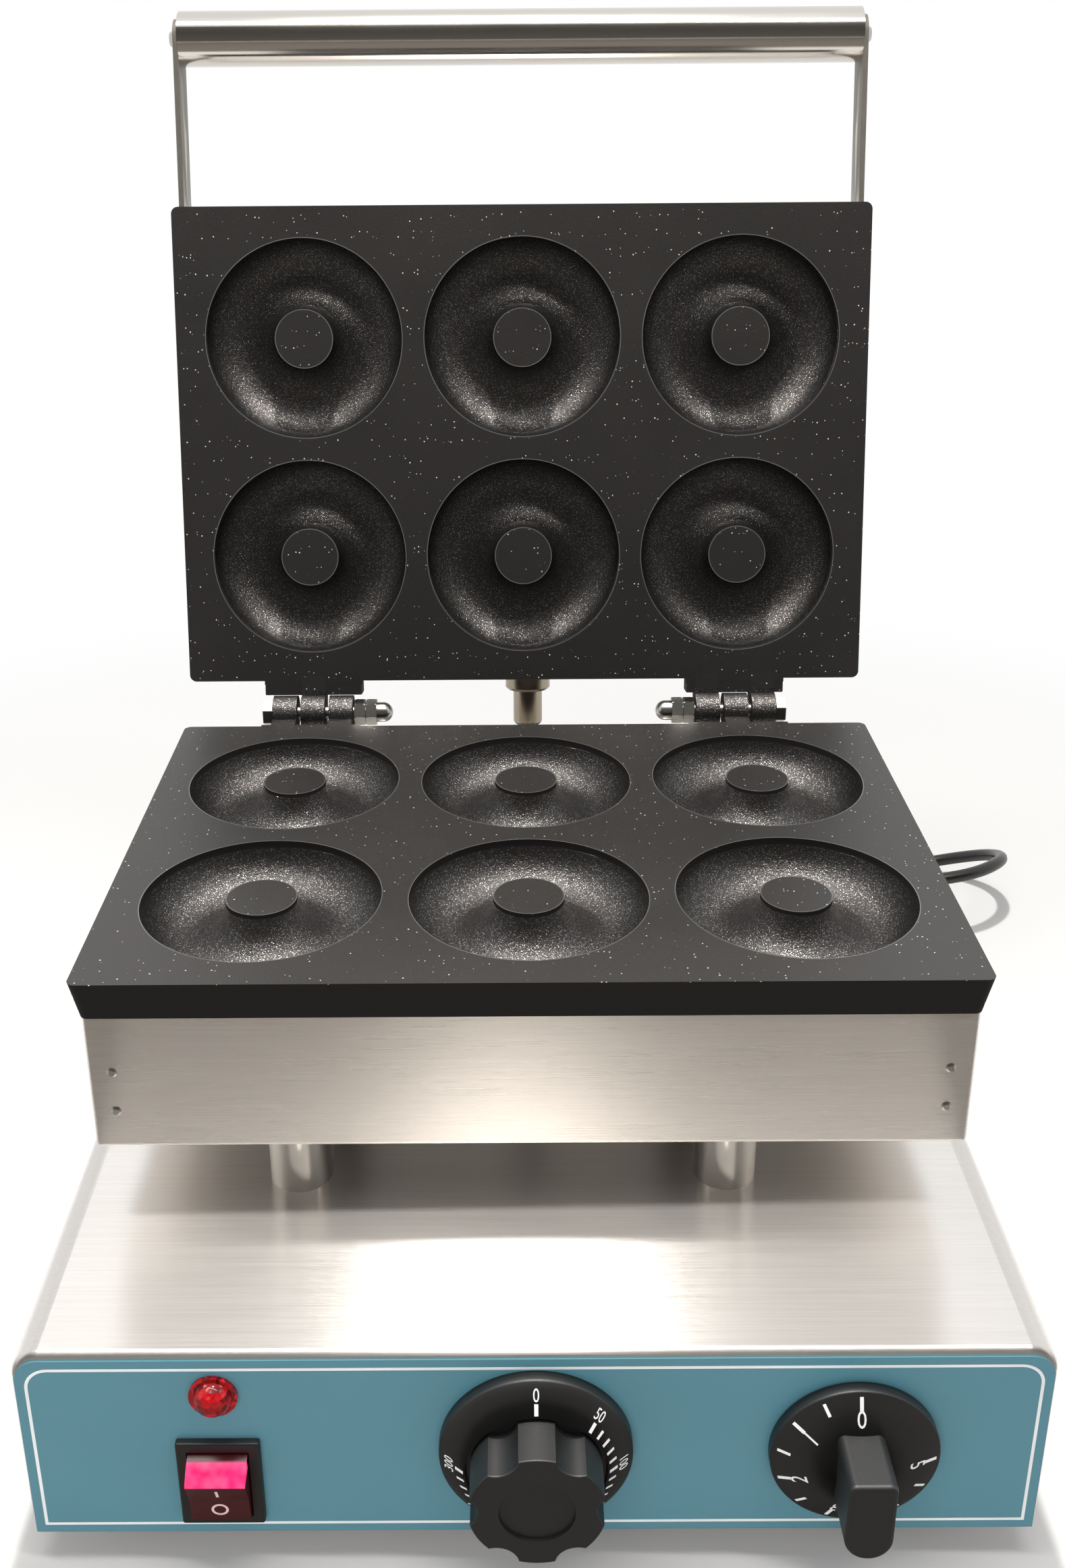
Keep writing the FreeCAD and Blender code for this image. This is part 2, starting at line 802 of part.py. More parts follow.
def make_heater(label, place):
    radius = d.heater_diameter / 2
    legs = [
        rod(radius, d.heater_leg, -d.heater_leg / 2, plate_middle + side * d.heater_bend, heater_centre, TO_RIGHT)
        for side in (-1, 1)
    ]
    turn_place = Placement(Vector(d.heater_leg / 2, plate_middle, heater_centre), Rotation(Vector(0, 0, 1), -90))
    bend = solid("Torus", turn_place, Radius1=d.heater_bend, Radius2=radius, Angle3=180.0)
    fuse(label, [*legs, bend], place)


def make_heater_clamps(label, place):
    parts = []
    length = d.heater_bend * 2 + d.clamp_width
    for side in (-1, 1):
        x = side * d.cavity_pitch_across / 2
        corner = Vector(x - d.clamp_width / 2, plate_middle - length / 2, clamp_top - d.clamp_thickness)
        parts.append(solid("Box", Placement(corner, Rotation()), Length=d.clamp_width, Width=length,
                           Height=d.clamp_thickness))
        stud = plate_back - clamp_top + d.clamp_thickness + d.nut_height
        parts.append(rod(d.bolt_diameter / 2, stud, x, plate_middle, plate_back - stud))
        low = clamp_top - d.clamp_thickness - d.nut_height
        parts.append(hexagon(d.nut_height, x, plate_middle, low))
    fuse(label, parts, place)


def make_housing_rivets(label, place):
    parts = []
    big = d.rivet_diameter / 2
    for side in (-1, 1):
        x = side * (housing_half - d.rivet_side)
        for count in range(2):
            z = housing_end + d.rivet_low + d.rivet_step * count
            parts.append(cone(big, big * 0.55, d.rivet_proud, x, housing_front, z, TO_FRONT))
            parts.append(cone(big, big * 0.55, d.rivet_proud, x, housing_rear, z, TO_BACK))
    fuse(label, parts, place)


def make_mould_halves():
    column_holes = [(x, y, bolt_hole) for x, y in column_places.values()]
    column_holes.append((0.0, plate_middle, d.conduit_bore / 2))
    make_housing("lower_housing", LOWER, column_holes, [], [])
    spigot = d.conduit_spigot / 2 + d.bolt_hole_play
    make_housing("upper_housing", UPPER, [], bar_screw_places(), [(-d.conduit_offset, conduit_z, spigot)])
    for half, place in (("lower", LOWER), ("upper", UPPER)):
        make_mould_plate(f"{half}_mould_plate", place)
        make_heater(f"{half}_heater", place)
        make_heater_clamps(f"{half}_heater_clamps", place)
        make_housing_rivets(f"{half}_housing_rivets", place)


# Hinge bolts with a plain nut and a cap nut each


def make_hinge_bolts():
    place = Placement(Vector(0, hinge_y - origin_y, parting), Rotation())
    stack = d.knuckle_width * 1.5 + d.knuckle_gap + d.hinge_play
    bolts, nuts, caps = [], [], []
    radius = d.bolt_diameter / 2
    for side, outward, inward in ((-1, TO_LEFT, TO_RIGHT), (1, TO_RIGHT, TO_LEFT)):
        head = side * (d.hinge_centre + stack)
        tail = side * (d.hinge_centre - stack)
        shank = stack * 2 + d.nut_height * 2
        bolts.append(hexagon(d.hinge_head_height, head, 0, 0, outward))
        bolts.append(rod(radius, shank, head, 0, 0, inward))
        nut = hexagon(d.nut_height, tail, 0, 0, inward)
        nuts.append((nut, rod(radius, d.nut_height, tail, 0, 0, inward)))
        cap_start = tail - side * d.nut_height
        dome_start = cap_start - side * d.nut_height
        cap = [
            hexagon(d.nut_height, cap_start, 0, 0, inward),
            rod(d.nut_flats * 0.44, d.nut_height / 2, dome_start, 0, 0, inward),
            solid("Sphere", Placement(Vector(dome_start - side * d.nut_height / 2, 0, 0), Rotation()),
                  Radius=d.nut_flats * 0.44),
        ]
        caps.append((cap, rod(radius, d.nut_height, cap_start, 0, 0, inward)))
    fuse("hinge_bolts", bolts, place)
    drilled_group("hinge_nuts", [([nut], hole) for nut, hole in nuts], place)
    drilled_group("hinge_cap_nuts", caps, place)


def drilled_group(label, pairs, place):
    """Several like pieces in one node, each with its bore taken out."""
    base = document.addObject("Part::MultiFuse", label + "_blanks")
    base.Shapes = [part for parts, _ in pairs for part in parts]
    tool = document.addObject("Part::Compound", label + "_bores")
    tool.Links = [hole for _, hole in pairs]
    cut(label, base, tool, place)


# Lid handle


def bar_screw_places():
    first = handle_y + d.handle_reach - d.hinge_reach - d.plate_depth + housing_gap + d.bar_screw_end
    return [(first + d.bar_screw_step * count, bar_middle, screw_hole) for count in range(2)]


def make_handle():
    half_bar = d.bar_width / 2
    for name, side in (("left", 1), ("right", -1)):
        body = new_body(f"handle_bar_{name}", UPPER)
        start = housing_half if side > 0 else -housing_half - d.bar_thickness
        outline = new_sketch(body, "YZ", start)
        end = housing_front + d.bar_overlap
        draw(outline, [
            (end, bar_middle - half_bar),
            (end, bar_middle + half_bar),
            (handle_y, bar_middle + half_bar),
            (handle_y - half_bar, bar_middle, half_bar, 1),
            (handle_y, bar_middle - half_bar, half_bar, 1),
        ])
        pad(body, outline, d.bar_thickness)
        holes = new_sketch(body, "YZ", start)
        for y, z, radius in [(handle_y, bar_middle, screw_hole), *bar_screw_places()]:
            draw_circle(holes, y, z, radius)
        pocket(body, holes, d.bar_thickness, backwards=True)
    outer = d.handle_diameter / 2
    inner = outer - d.handle_wall
    length = housing_half * 2
    tube = rod(outer, length, -housing_half, handle_y, bar_middle, TO_RIGHT)
    cut("handle_tube", tube, rod(inner, length, -housing_half, handle_y, bar_middle, TO_RIGHT), UPPER)
    make_handle_screws(inner)


def make_handle_screws(inner):
    plugs, holes, grip_screws, bar_screws = [], [], [], []
    shank = d.screw_diameter / 2
    head = d.screw_head_diameter / 2
    for side, outward, inward in ((-1, TO_LEFT, TO_RIGHT), (1, TO_RIGHT, TO_LEFT)):
        end = side * housing_half
        outside = side * (housing_half + d.bar_thickness)
        plugs.append(rod(inner, d.handle_plug, end, handle_y, bar_middle, inward))
        holes.append(rod(shank, d.handle_plug, end, handle_y, bar_middle, inward))
        long = d.handle_plug + d.bar_thickness
        short = d.bar_thickness + d.housing_sheet + d.nut_height
        grip_screws.append(rod(shank, long, outside, handle_y, bar_middle, inward))
        grip_screws.append(cone(head, head * 0.6, d.screw_head_height, outside, handle_y, bar_middle, outward))
        for y, z, _ in bar_screw_places():
            bar_screws.append(rod(shank, short, outside, y, z, inward))
            bar_screws.append(cone(head, head * 0.6, d.screw_head_height, outside, y, z, outward))
    drilled_group("handle_tube_plugs", [([plug], hole) for plug, hole in zip(plugs, holes)], UPPER)
    fuse("handle_tube_screws", grip_screws, UPPER)
    fuse("handle_bar_screws", bar_screws, UPPER)


# Conduit fittings for the lid's wires


def conduit_profile():
    nut = d.conduit_nut_diameter / 2
    bore = d.conduit_bore / 2
    spigot = d.conduit_spigot / 2
    bevel = d.sheet
    end = -d.housing_sheet - d.nut_height
    return [
        (bore, end),
        (spigot, end),
        (spigot, 0.0),
        (nut - bevel, 0.0),
        (nut, bevel),
        (nut, d.conduit_nut_length - bevel),
        (nut - bevel, d.conduit_nut_length),
        (bore, d.conduit_nut_length),
    ]


def make_conduit_fittings():
    place = UPPER * Placement(Vector(-d.conduit_offset, housing_rear, conduit_z), TO_BACK)
    turned("conduit_nut", conduit_profile(), place)
    outer = d.conduit_diameter / 2
    round_end = outer - d.conduit_bore / 2
    start = d.conduit_nut_length
    end = start + d.conduit_length
    turned("conduit_ferrule", [
        (d.conduit_bore / 2, start),
        (outer, start),
        (outer, end - round_end),
        (outer - round_end, end, round_end, 1),
    ], place)
    base_place = ROOT * Placement(Vector(d.conduit_offset, conduit_base_y, base_top), Rotation())
    turned("conduit_gland", conduit_profile(), base_place)


# Controls, each drawn with its own Z towards the user


def control_place(x, above, level=0.0):
    return ROOT * Placement(Vector(x, panel_face - level, base_bottom + above), TO_FRONT)


def make_lamp():
    place = control_place(d.lamp_x, d.lamp_above)
    rim = d.lamp_diameter / 2
    body = d.lamp_body_diameter / 2
    crown = (body * body + d.lamp_dome * d.lamp_dome) / (d.lamp_dome * 2)
    turned("lamp_lens", [
        (0.0, 0.0),
        (rim, 0.0),
        (rim, d.lamp_rim),
        (body, d.lamp_rim),
        (0.0, d.lamp_rim + d.lamp_dome, crown, 1),
    ], place)
    behind = d.panel_thickness + d.sheet
    turned("lamp_holder", [
        (0.0, -d.lamp_body_length),
        (body - d.sheet, -d.lamp_body_length),
        (body, -behind),
        (body, 0.0),
        (0.0, 0.0),
    ], place)


def make_switch():
    body = new_body("switch_housing", control_place(d.switch_x, d.switch_above))
    rim = new_sketch(body, "XY")
    wide = d.switch_width / 2
    tall = d.switch_tall / 2
    draw_box(rim, -wide, wide, -tall, tall)
    pad(body, rim, d.switch_rim)
    soften(body, d.switch_rim / 3, lambda e: runs_along(e, "z") or at(e.BoundBox.ZMin, d.switch_rim))
    case = new_sketch(body, "XY")
    draw_box(case, -d.switch_body_width / 2, d.switch_body_width / 2, -d.switch_body_tall / 2, d.switch_body_tall / 2)
    pad(body, case, d.switch_body_depth, backwards=True)
    well = new_sketch(body, "XY", d.switch_rim)
    wide = d.rocker_width / 2 + d.rocker_play
    tall = d.rocker_radius + d.rocker_play
    draw_box(well, -wide, wide, -tall, tall)
    pocket(body, well, d.switch_rim + d.rocker_radius / 2)


def make_rocker():
    middle = d.switch_rim - d.rocker_pivot
    tilt = Placement(Vector(0, 0, middle), Rotation(Vector(1, 0, 0), d.rocker_swing))
    body = new_body("switch_rocker", control_place(d.switch_x, d.switch_above) * tilt)
    outline = new_sketch(body, "YZ", -d.rocker_width / 2)
    along = d.rocker_radius * sine(d.rocker_corner_angle)
    out = d.rocker_radius * cosine(d.rocker_corner_angle)
    reach = Size(math.sqrt(d.rocker_radius**2 - d.rocker_back**2),
                 f"sqrt({d.rocker_radius.text}^2 - {d.rocker_back.text}^2)")
    draw(outline, [
        (reach, -d.rocker_back),
        (along, out, d.rocker_radius, 1),
        (0.0, d.rocker_valley),
        (-along, out),
        (-reach, -d.rocker_back, d.rocker_radius, 1),
    ])
    pad(body, outline, d.rocker_width)


def make_thermostat():
    bush = d.bush_diameter / 2
    hole = bush + d.bolt_hole_play
    rim = d.scale_diameter / 2
    turned("thermostat_scale", [
        (hole, 0.0),
        (rim, 0.0),
        (rim, d.scale_thickness / 2),
        (rim - d.scale_bevel, d.scale_thickness),
        (hole, d.scale_thickness),
    ], control_place(d.thermostat_x, d.thermostat_above))
    level = d.scale_thickness + d.knob_gap
    body = new_body("thermostat_knob", control_place(d.thermostat_x, d.thermostat_above))
    ring = new_sketch(body, "XY", level)
    draw_circle(ring, 0.0, 0.0, d.knob_diameter / 2 + d.knob_ring_proud)
    pad(body, ring, d.knob_ring)
    grip = new_sketch(body, "XY", level)
    draw_circle(grip, 0.0, 0.0, d.knob_diameter / 2)
    pad(body, grip, d.knob_height)
    flute = new_sketch(body, "XY", level + d.knob_height)
    draw_circle(flute, d.knob_diameter / 2 + d.flute_radius - d.flute_depth, 0.0, d.flute_radius)
    first = pocket(body, flute, d.knob_height - d.knob_ring)
    document.recompute()
    around = body.newObject("PartDesign::PolarPattern", "flutes")
    around.Originals = [first]
    around.Axis = (flute, ["N_Axis"])
    around.Angle = 360
    around.Occurrences = int(d.flute_count)
    body.Tip = around
    top = level + d.knob_height
    soften(body, d.knob_ring_proud, lambda e: at(e.BoundBox.ZMin, top))
    dish = new_sketch(body, "XY", top)
    draw_circle(dish, 0.0, 0.0, d.knob_dish_diameter / 2)
    pocket(body, dish, d.knob_dish_depth)
    socket = new_sketch(body, "XY", level)
    draw_circle(socket, 0.0, 0.0, d.shaft_diameter / 2)
    pocket(body, socket, d.knob_height * 0.7, backwards=True)
    make_shaft("thermostat_shaft", control_place(d.thermostat_x, d.thermostat_above), level + d.knob_height * 0.7)
    make_control_body("thermostat_body", control_place(d.thermostat_x, d.thermostat_above),
                      d.thermostat_body_width, d.thermostat_body_tall, d.thermostat_body_depth)
    bulb_x = -d.bulb_length / 2
    bulb_z = housing_end + d.housing_sheet + d.bulb_diameter
    bulb = rod(d.bulb_diameter / 2, d.bulb_length, bulb_x, plate_middle, bulb_z, TO_RIGHT)
    fuse("thermostat_bulb", [bulb, bulb_clip(bulb_x, bulb_z)], LOWER)


def bulb_clip(x, z):
    """A saddle that stands on the housing's floor and holds the bulb."""
    height = z - housing_end - d.housing_sheet
    corner = Vector(x + d.bulb_length / 3, plate_middle - d.bulb_diameter / 2, housing_end + d.housing_sheet)
    return solid("Box", Placement(corner, Rotation()), Length=d.bulb_length / 3, Width=d.bulb_diameter, Height=height)


def make_shaft(label, place, outer_end):
    inner_end = d.panel_thickness + d.sheet + d.shaft_diameter
    at_end = place * Placement(Vector(0, 0, -inner_end), Rotation())
    shaft = solid("Cylinder", at_end, Radius=d.shaft_diameter / 2, Height=outer_end + inner_end)
    named(shaft, label, at_end)


def make_control_body(label, place, wide, tall, deep):
    """The works behind the panel, with the bush that the shaft runs in."""
    body = new_body(label, place)
    behind = d.panel_thickness + d.sheet
    case = new_sketch(body, "XY", -behind)
    draw_box(case, -wide / 2, wide / 2, -tall / 2, tall / 2)
    pad(body, case, deep, backwards=True)
    soften(body, d.sheet, lambda e: runs_along(e, "z"))
    bush = new_sketch(body, "XY", -behind)
    draw_circle(bush, 0.0, 0.0, d.bush_diameter / 2)
    pad(body, bush, behind)
    bore = new_sketch(body, "XY")
    draw_circle(bore, 0.0, 0.0, d.shaft_diameter / 2 + d.shaft_fit)
    pocket(body, bore, behind + d.shaft_diameter * 2)


def make_timer():
    place = control_place(d.timer_x, d.timer_above)
    body = new_body("timer_knob", place)
    profile = new_sketch(body, "XZ")
    rim = d.skirt_diameter / 2
    hub = d.hub_diameter / 2
    bore = d.shaft_diameter / 2
    top = d.knob_gap + d.skirt_thickness
    draw(profile, [
        (bore, d.knob_gap),
        (rim, d.knob_gap),
        (rim, top - d.skirt_bevel),
        (rim - d.skirt_bevel, top),
        (hub, top),
        (hub - d.skirt_bevel, d.knob_gap + d.hub_height),
        (bore, d.knob_gap + d.hub_height),
    ])
    turn(body, profile)
    grip = new_sketch(body, "XY", d.knob_gap)
    wide = d.grip_width / 2
    corner = d.grip_width / 6
    draw(grip, [
        (-wide, wide - d.grip_down),
        (0.0, -d.grip_down, wide, 1),
        (wide, wide - d.grip_down, wide, 1),
        (wide, d.grip_up - corner),
        (wide - corner, d.grip_up, corner, 1),
        (corner - wide, d.grip_up),
        (-wide, d.grip_up - corner, corner, 1),
    ])
    pad(body, grip, d.grip_height)
    soften(body, d.skirt_bevel, lambda e: at(e.BoundBox.ZMin, d.knob_gap + d.grip_height))
    socket = new_sketch(body, "XY", d.knob_gap)
    draw_circle(socket, 0.0, 0.0, bore)
    pocket(body, socket, d.grip_height / 2, backwards=True)
    make_shaft("timer_shaft", place, d.knob_gap + d.grip_height / 2)
    make_control_body("timer_body", place, d.timer_body_width, d.timer_body_tall, d.timer_body_depth)


def make_terminal_block():
    body = new_body("terminal_block")
    outline = new_sketch(body, "XY", base_bottom)
    middle = d.base_depth * 0.72
    draw_box(outline, -d.terminal_length / 2, d.terminal_length / 2, middle, middle + d.terminal_width)
    pad(body, outline, d.terminal_height)
    well = new_sketch(body, "XY", base_bottom + d.terminal_height)
    step = d.terminal_length / d.terminal_count
    draw_circle(well, step / 2 - d.terminal_length / 2, middle + d.terminal_width / 2, d.terminal_well / 2)
    first = pocket(body, well, d.terminal_height / 2)
    repeat(body, first, (well, ["H_Axis"]), d.terminal_length - step, int(d.terminal_count))


# Cord


def arc_edge(start, middle, end):
    return Part.Arc(start, middle, end).toShape()


def rounded_path(points, share=0.45):
    """Straight runs joined by tangent arcs as large as the runs allow, and the arcs' radii."""
    edges, radii = [], []
    last = points[0]
    for before, corner, after in zip(points, points[1:], points[2:]):
        back = before - corner
        ahead = after - corner
        turn_angle = math.pi - back.getAngle(ahead)
        reach = share * min(back.Length, ahead.Length)
        radius = reach / math.tan(turn_angle / 2)
        start = corner + Vector(back).normalize() * reach
        end = corner + Vector(ahead).normalize() * reach
        inward = (Vector(back).normalize() + Vector(ahead).normalize()).normalize()
        middle = corner + inward * (radius / math.cos(turn_angle / 2) - radius)
        edges.append(Part.LineSegment(last, start).toShape())
        edges.append(arc_edge(start, middle, end))
        radii.append(radius)
        last = end
    edges.append(Part.LineSegment(last, points[-1]).toShape())
    return Part.Wire(edges), radii


def tangent_arc(start, way, end):
    """The arc from start, leaving along way, to end."""
    chord = end - start
    along = Vector(way).normalize()
    across = chord - along * chord.dot(along)
    radius = chord.dot(chord) / (2 * across.Length)
    across.normalize()
    centre = start + across * radius
    middle = centre + ((start + end) / 2 - centre).normalize() * radius
    return arc_edge(start, middle, end)


def biarc(start, way, end, end_way):
    """Two arcs that leave start along way and reach end along end_way."""
    chord = end - start
    both = way + end_way
    lean = 2 * (1 - way.dot(end_way))
    reach = (math.sqrt(chord.dot(both) ** 2 + lean * chord.dot(chord)) - chord.dot(both)) / lean
    joint = (start + end + (way - end_way) * reach) / 2
    back = tangent_arc(end, end_way * -1, joint)
    return [tangent_arc(start, way, joint), back]


def tube(label, wire, start_way):
    radius = d.cord_diameter / 2
    start = wire.OrderedVertexes[0].Point
    circle = Part.Wire([Part.Circle(start, start_way, float(radius)).toShape()])
    shape = wire.makePipeShell([circle], True, False)
    print(label, "volume over section times length", shape.Volume / (math.pi * radius**2 * wire.Length))
    thing = document.addObject("Part::Feature", label)
    thing.Shape = shape
    return named(thing, label, ROOT)


def cord_exit():
    return Vector(d.cord_exit_x, rear_face + d.relief_collar + d.relief_length, base_bottom + d.cord_exit_above)


def coil_nodes(centre):
    """Places and headings at each quarter turn: in, up a layer in half a turn, and out again."""
    layer = int(d.coil_turns_a_layer * 4)
    inner = d.coil_outer_radius - d.coil_step * d.coil_turns_a_layer
    radii = [d.coil_outer_radius - d.coil_step * step / 4 for step in range(layer + 1)]
    heights = [0.0] * (layer + 1)
    radii.append(inner - d.coil_step / 4)
    heights.append(d.coil_layer / 2)
    radii += [inner + d.coil_step * step / 4 for step in range(layer + 1)]
    heights += [d.coil_layer] * (layer + 1)
    nodes = []
    for count, (radius, height) in enumerate(zip(radii, heights)):
        angle = math.pi / 2 + count * math.pi / 2
        spot = centre + Vector(radius * math.cos(angle), radius * math.sin(angle), height)
        nodes.append((spot, Vector(-math.sin(angle), math.cos(angle), 0)))
    return nodes


def make_cord():
    collar = d.relief_collar_diameter / 2
    root = d.relief_root_diameter / 2
    end = d.relief_collar + d.relief_length
    exit_place = Vector(d.cord_exit_x, rear_face, base_bottom + d.cord_exit_above)
    turned("cord_strain_relief", [
        (0.0, 0.0),
        (collar, 0.0),
        (collar, d.relief_collar),
        (root, d.relief_collar),
        (d.cord_diameter / 2 + d.sheet, end),
        (0.0, end),
    ], ROOT * Placement(exit_place, TO_BACK))
    leave = cord_exit()
    route = [Vector(leave.x + right, leave.y + back, height) for right, back, height in CORD_ROUTE]
    route[0].z = leave.z
    wire, radii = rounded_path(route)
    print("cord radii", [round(radius, 1) for radius in radii], "length", round(wire.Length))
    tube("power_cord", wire, route[1] - route[0])
    make_coil(route[-1])


def make_coil(start):
    straight = d.cord_diameter
    first = start + Vector(-straight, 0, 0)
    centre = first - Vector(0, d.coil_outer_radius, 0)
    nodes = coil_nodes(centre)
    edges = [Part.LineSegment(start, first).toShape()]
    for (spot, way), (following, next_way) in zip(nodes, nodes[1:]):
        edges += biarc(spot, way, following, next_way)
    last, way = nodes[-1]
    tail = last + way * straight
    edges.append(Part.LineSegment(last, tail).toShape())
    wire = Part.Wire(Part.__sortEdges__(edges))
    print("coil length", round(wire.Length), "least gap to itself", round(gap_to_itself(edges), 2))
    tube("cord_coil", wire, Vector(-1, 0, 0))
    make_tie(centre)
    make_plug(tail)


def gap_to_itself(edges):
    """The least distance between stretches of the coil at least a quarter turn apart, less its thickness."""
    spots = [edge.valueAt(edge.FirstParameter + (edge.LastParameter - edge.FirstParameter) * share)
             for edge in edges for share in (0.0, 0.25, 0.5, 0.75)]
    apart = 12
    least = min((a - b).Length for i, a in enumerate(spots) for b in spots[i + apart:])
    return least - d.cord_diameter


def make_tie(centre):
    """A strap round both layers of the coil."""
    radius = d.cord_diameter / 2
    inner = d.coil_outer_radius - d.coil_step * (d.coil_turns_a_layer + 0.25) - radius - d.tie_clear
    outer = d.coil_outer_radius + radius + d.tie_clear
    low = centre.z - radius - d.tie_clear
    high = centre.z + d.coil_layer + radius + d.tie_clear
    wall = d.tie_thickness
    body = new_body("cord_tie", ROOT * Placement(Vector(centre.x, centre.y, 0), Rotation()))
    ring = new_sketch(body, "YZ", -d.tie_width / 2)
    draw_box(ring, -outer - wall, -inner + wall, low - wall, high + wall)
    draw_box(ring, -outer, -inner, low, high)
    pad(body, ring, d.tie_width)


def make_plug(tail):
    rise = d.plug_diameter / 2
    points = [
        tail,
        tail + Vector(-18, 1, 1),
        tail + Vector(-36, 4, 4),
        Vector(tail.x - 54, tail.y + 4, rise),
    ]
    points[2].z = (tail.z + rise) / 2
    points.append(points[-1] + Vector(-14, 0, 0))
    wire, radii = rounded_path(points)
    print("tail radii", [round(radius, 1) for radius in radii], "length", round(wire.Length))
    tube("cord_tail", wire, points[1] - points[0])
    place = ROOT * Placement(points[-1], TO_LEFT)
    cord = d.cord_diameter / 2
    body = d.plug_diameter / 2
    end = d.plug_tail + d.plug_length
    turned("plug_body", [
        (0.0, 0.0),
        (cord + d.sheet, 0.0),
        (cord + d.sheet * 2.5, d.plug_tail * 0.7),
        (body * 0.7, d.plug_tail),
        (body, d.plug_tail + d.plug_length / 3),
        (body, end - d.sheet),
        (body - d.sheet, end),
        (0.0, end),
    ], place)
    pins = [
        rod(d.pin_diameter / 2, d.pin_length, side * d.pin_pitch / 2, 0, end)
        for side in (-1, 1)
    ]
    fuse("plug_pins", pins, place)


make_base_shell()
make_control_panel()
make_rear_panel()
make_bottom_cover()
make_feet()
make_rear_screws()
make_columns()
make_mould_halves()
make_hinge_bolts()
make_handle()
make_conduit_fittings()
make_lamp()
make_switch()
make_rocker()
make_thermostat()
make_timer()
make_terminal_block()
make_cord()

document.recompute()
failed = [thing.Label for thing in document.Objects if {"Invalid", "Error"} & set(thing.State)]
if failed:
    raise RuntimeError(f"these did not build: {failed}")
for piece in pieces:
    if piece.Shape.isNull() or not piece.Shape.isValid() or piece.Shape.Volume <= 0:
        raise RuntimeError(f"{piece.Label} has no valid solid")
os.makedirs("parts", exist_ok=True)
for piece in pieces:
    piece.Shape.exportStep(f"parts/{piece.Label}.step")
print(len(pieces), "pieces; hinge at", hinge_y - origin_y, parting, "; origin", origin_y)
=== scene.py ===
import json
import math

import bmesh
import bpy
from mathutils import Matrix, Vector


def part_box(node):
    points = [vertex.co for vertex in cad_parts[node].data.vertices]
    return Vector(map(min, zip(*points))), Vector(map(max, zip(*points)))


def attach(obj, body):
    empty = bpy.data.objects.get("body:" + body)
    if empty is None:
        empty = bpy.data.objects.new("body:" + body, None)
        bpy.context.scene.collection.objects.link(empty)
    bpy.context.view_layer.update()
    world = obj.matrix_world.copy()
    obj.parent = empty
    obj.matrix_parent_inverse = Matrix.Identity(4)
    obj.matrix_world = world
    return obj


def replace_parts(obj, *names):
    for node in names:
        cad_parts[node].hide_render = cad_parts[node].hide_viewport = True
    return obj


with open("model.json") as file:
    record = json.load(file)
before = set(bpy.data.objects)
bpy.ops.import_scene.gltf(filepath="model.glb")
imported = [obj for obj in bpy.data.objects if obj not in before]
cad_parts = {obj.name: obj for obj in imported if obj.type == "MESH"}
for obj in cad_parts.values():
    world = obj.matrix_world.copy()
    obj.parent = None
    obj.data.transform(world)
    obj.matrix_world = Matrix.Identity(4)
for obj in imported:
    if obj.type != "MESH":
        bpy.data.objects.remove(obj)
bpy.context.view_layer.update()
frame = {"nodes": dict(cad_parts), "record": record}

MM = 0.001
NODES = frame["nodes"]

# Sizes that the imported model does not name, in millimetres and degrees
PROUD = 0.04
BORDER_INSET = 3.0
BORDER_WIDTH = 1.0
BORDER_ROUND = 7.5
CAVITY_RIM = 41.5
CAVITY_POST = 12.3
CAVITY_ACROSS = 92.4
CAVITY_BACK = 92.6
HALF_GAP = 0.4
OPEN_ANGLE = 102.0
RIM_LINE = 0.32
CORD_DIAMETER = 6.6
ROCKER_RADIUS = 13.0
ROCKER_VALLEY = 7.6
ROCKER_CORNER = 47.0
ROCKER_SWING = 15.0

# Photograph: focal length, tilt and place of the lens, from the fit that gave the machine's sizes
PHOTO_WIDTH = 1578
PHOTO_HEIGHT = 2324
FOCAL_PIXELS = 2343.6
PICTURE_CENTRE = (751.3, 994.9)
LENS_TILT = 21.74
LENS_TURN = -0.17
LENS_ROLL = -0.44
LENS_PLACE = (-5.5, -543.6, 454.5)
FILM_WIDTH = 36.0


def span(node):
    """Lowest and highest corner of a node in millimetres."""
    low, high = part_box(node)
    return Vector(low) / MM, Vector(high) / MM


def joint_place(name):
    """A point on a joint's axis in millimetres."""
    joint = next(j for j in frame["record"]["behaviour"]["joints"] if j["name"] == name)
    return Vector(joint["pos_m"]) / MM


def plate_places():
    """Where the face of each mould plate is: its centre, with x along the hinge and z out of the face."""
    hinge = joint_place("lid_hinge")
    low, high = span("lower_housing")
    middle = (low.y + high.y) / 2
    back = hinge.y - middle
    lower = Matrix.Translation((0, middle, hinge.z - HALF_GAP))
    swing = Matrix.Rotation(math.radians(-OPEN_ANGLE), 4, "X")
    turned = Matrix.Rotation(math.radians(180), 4, "Y")
    upper = Matrix.Translation(hinge) @ swing @ Matrix.Translation((0, -back, HALF_GAP)) @ turned
    return {"lower": (lower, "base"), "upper": (upper, "lid")}


def plate_face(half):
    """The direction that a mould plate faces, and how far along it the face is, in metres."""
    place, _ = plate_places()[half]
    outward = place.to_3x3() @ Vector((0, 0, 1))
    return outward, outward.dot(place.translation) * MM


def rocker_frame():
    """The rocker's pivot, and its own upward direction as it rests."""
    swing = math.radians(ROCKER_SWING)
    return joint_place("rocker_tip"), Vector((0, -math.sin(swing), math.cos(swing)))


def rocker_end():
    """How far a face of the rocker reaches from its middle."""
    return ROCKER_RADIUS * math.sin(math.radians(ROCKER_CORNER))


# Shader helpers, where a source is a plain value or another node's output


def feed(tree, socket, source):
    """The socket takes the source."""
    if isinstance(source, bpy.types.NodeSocket):
        tree.links.new(source, socket)
    else:
        socket.default_value = source


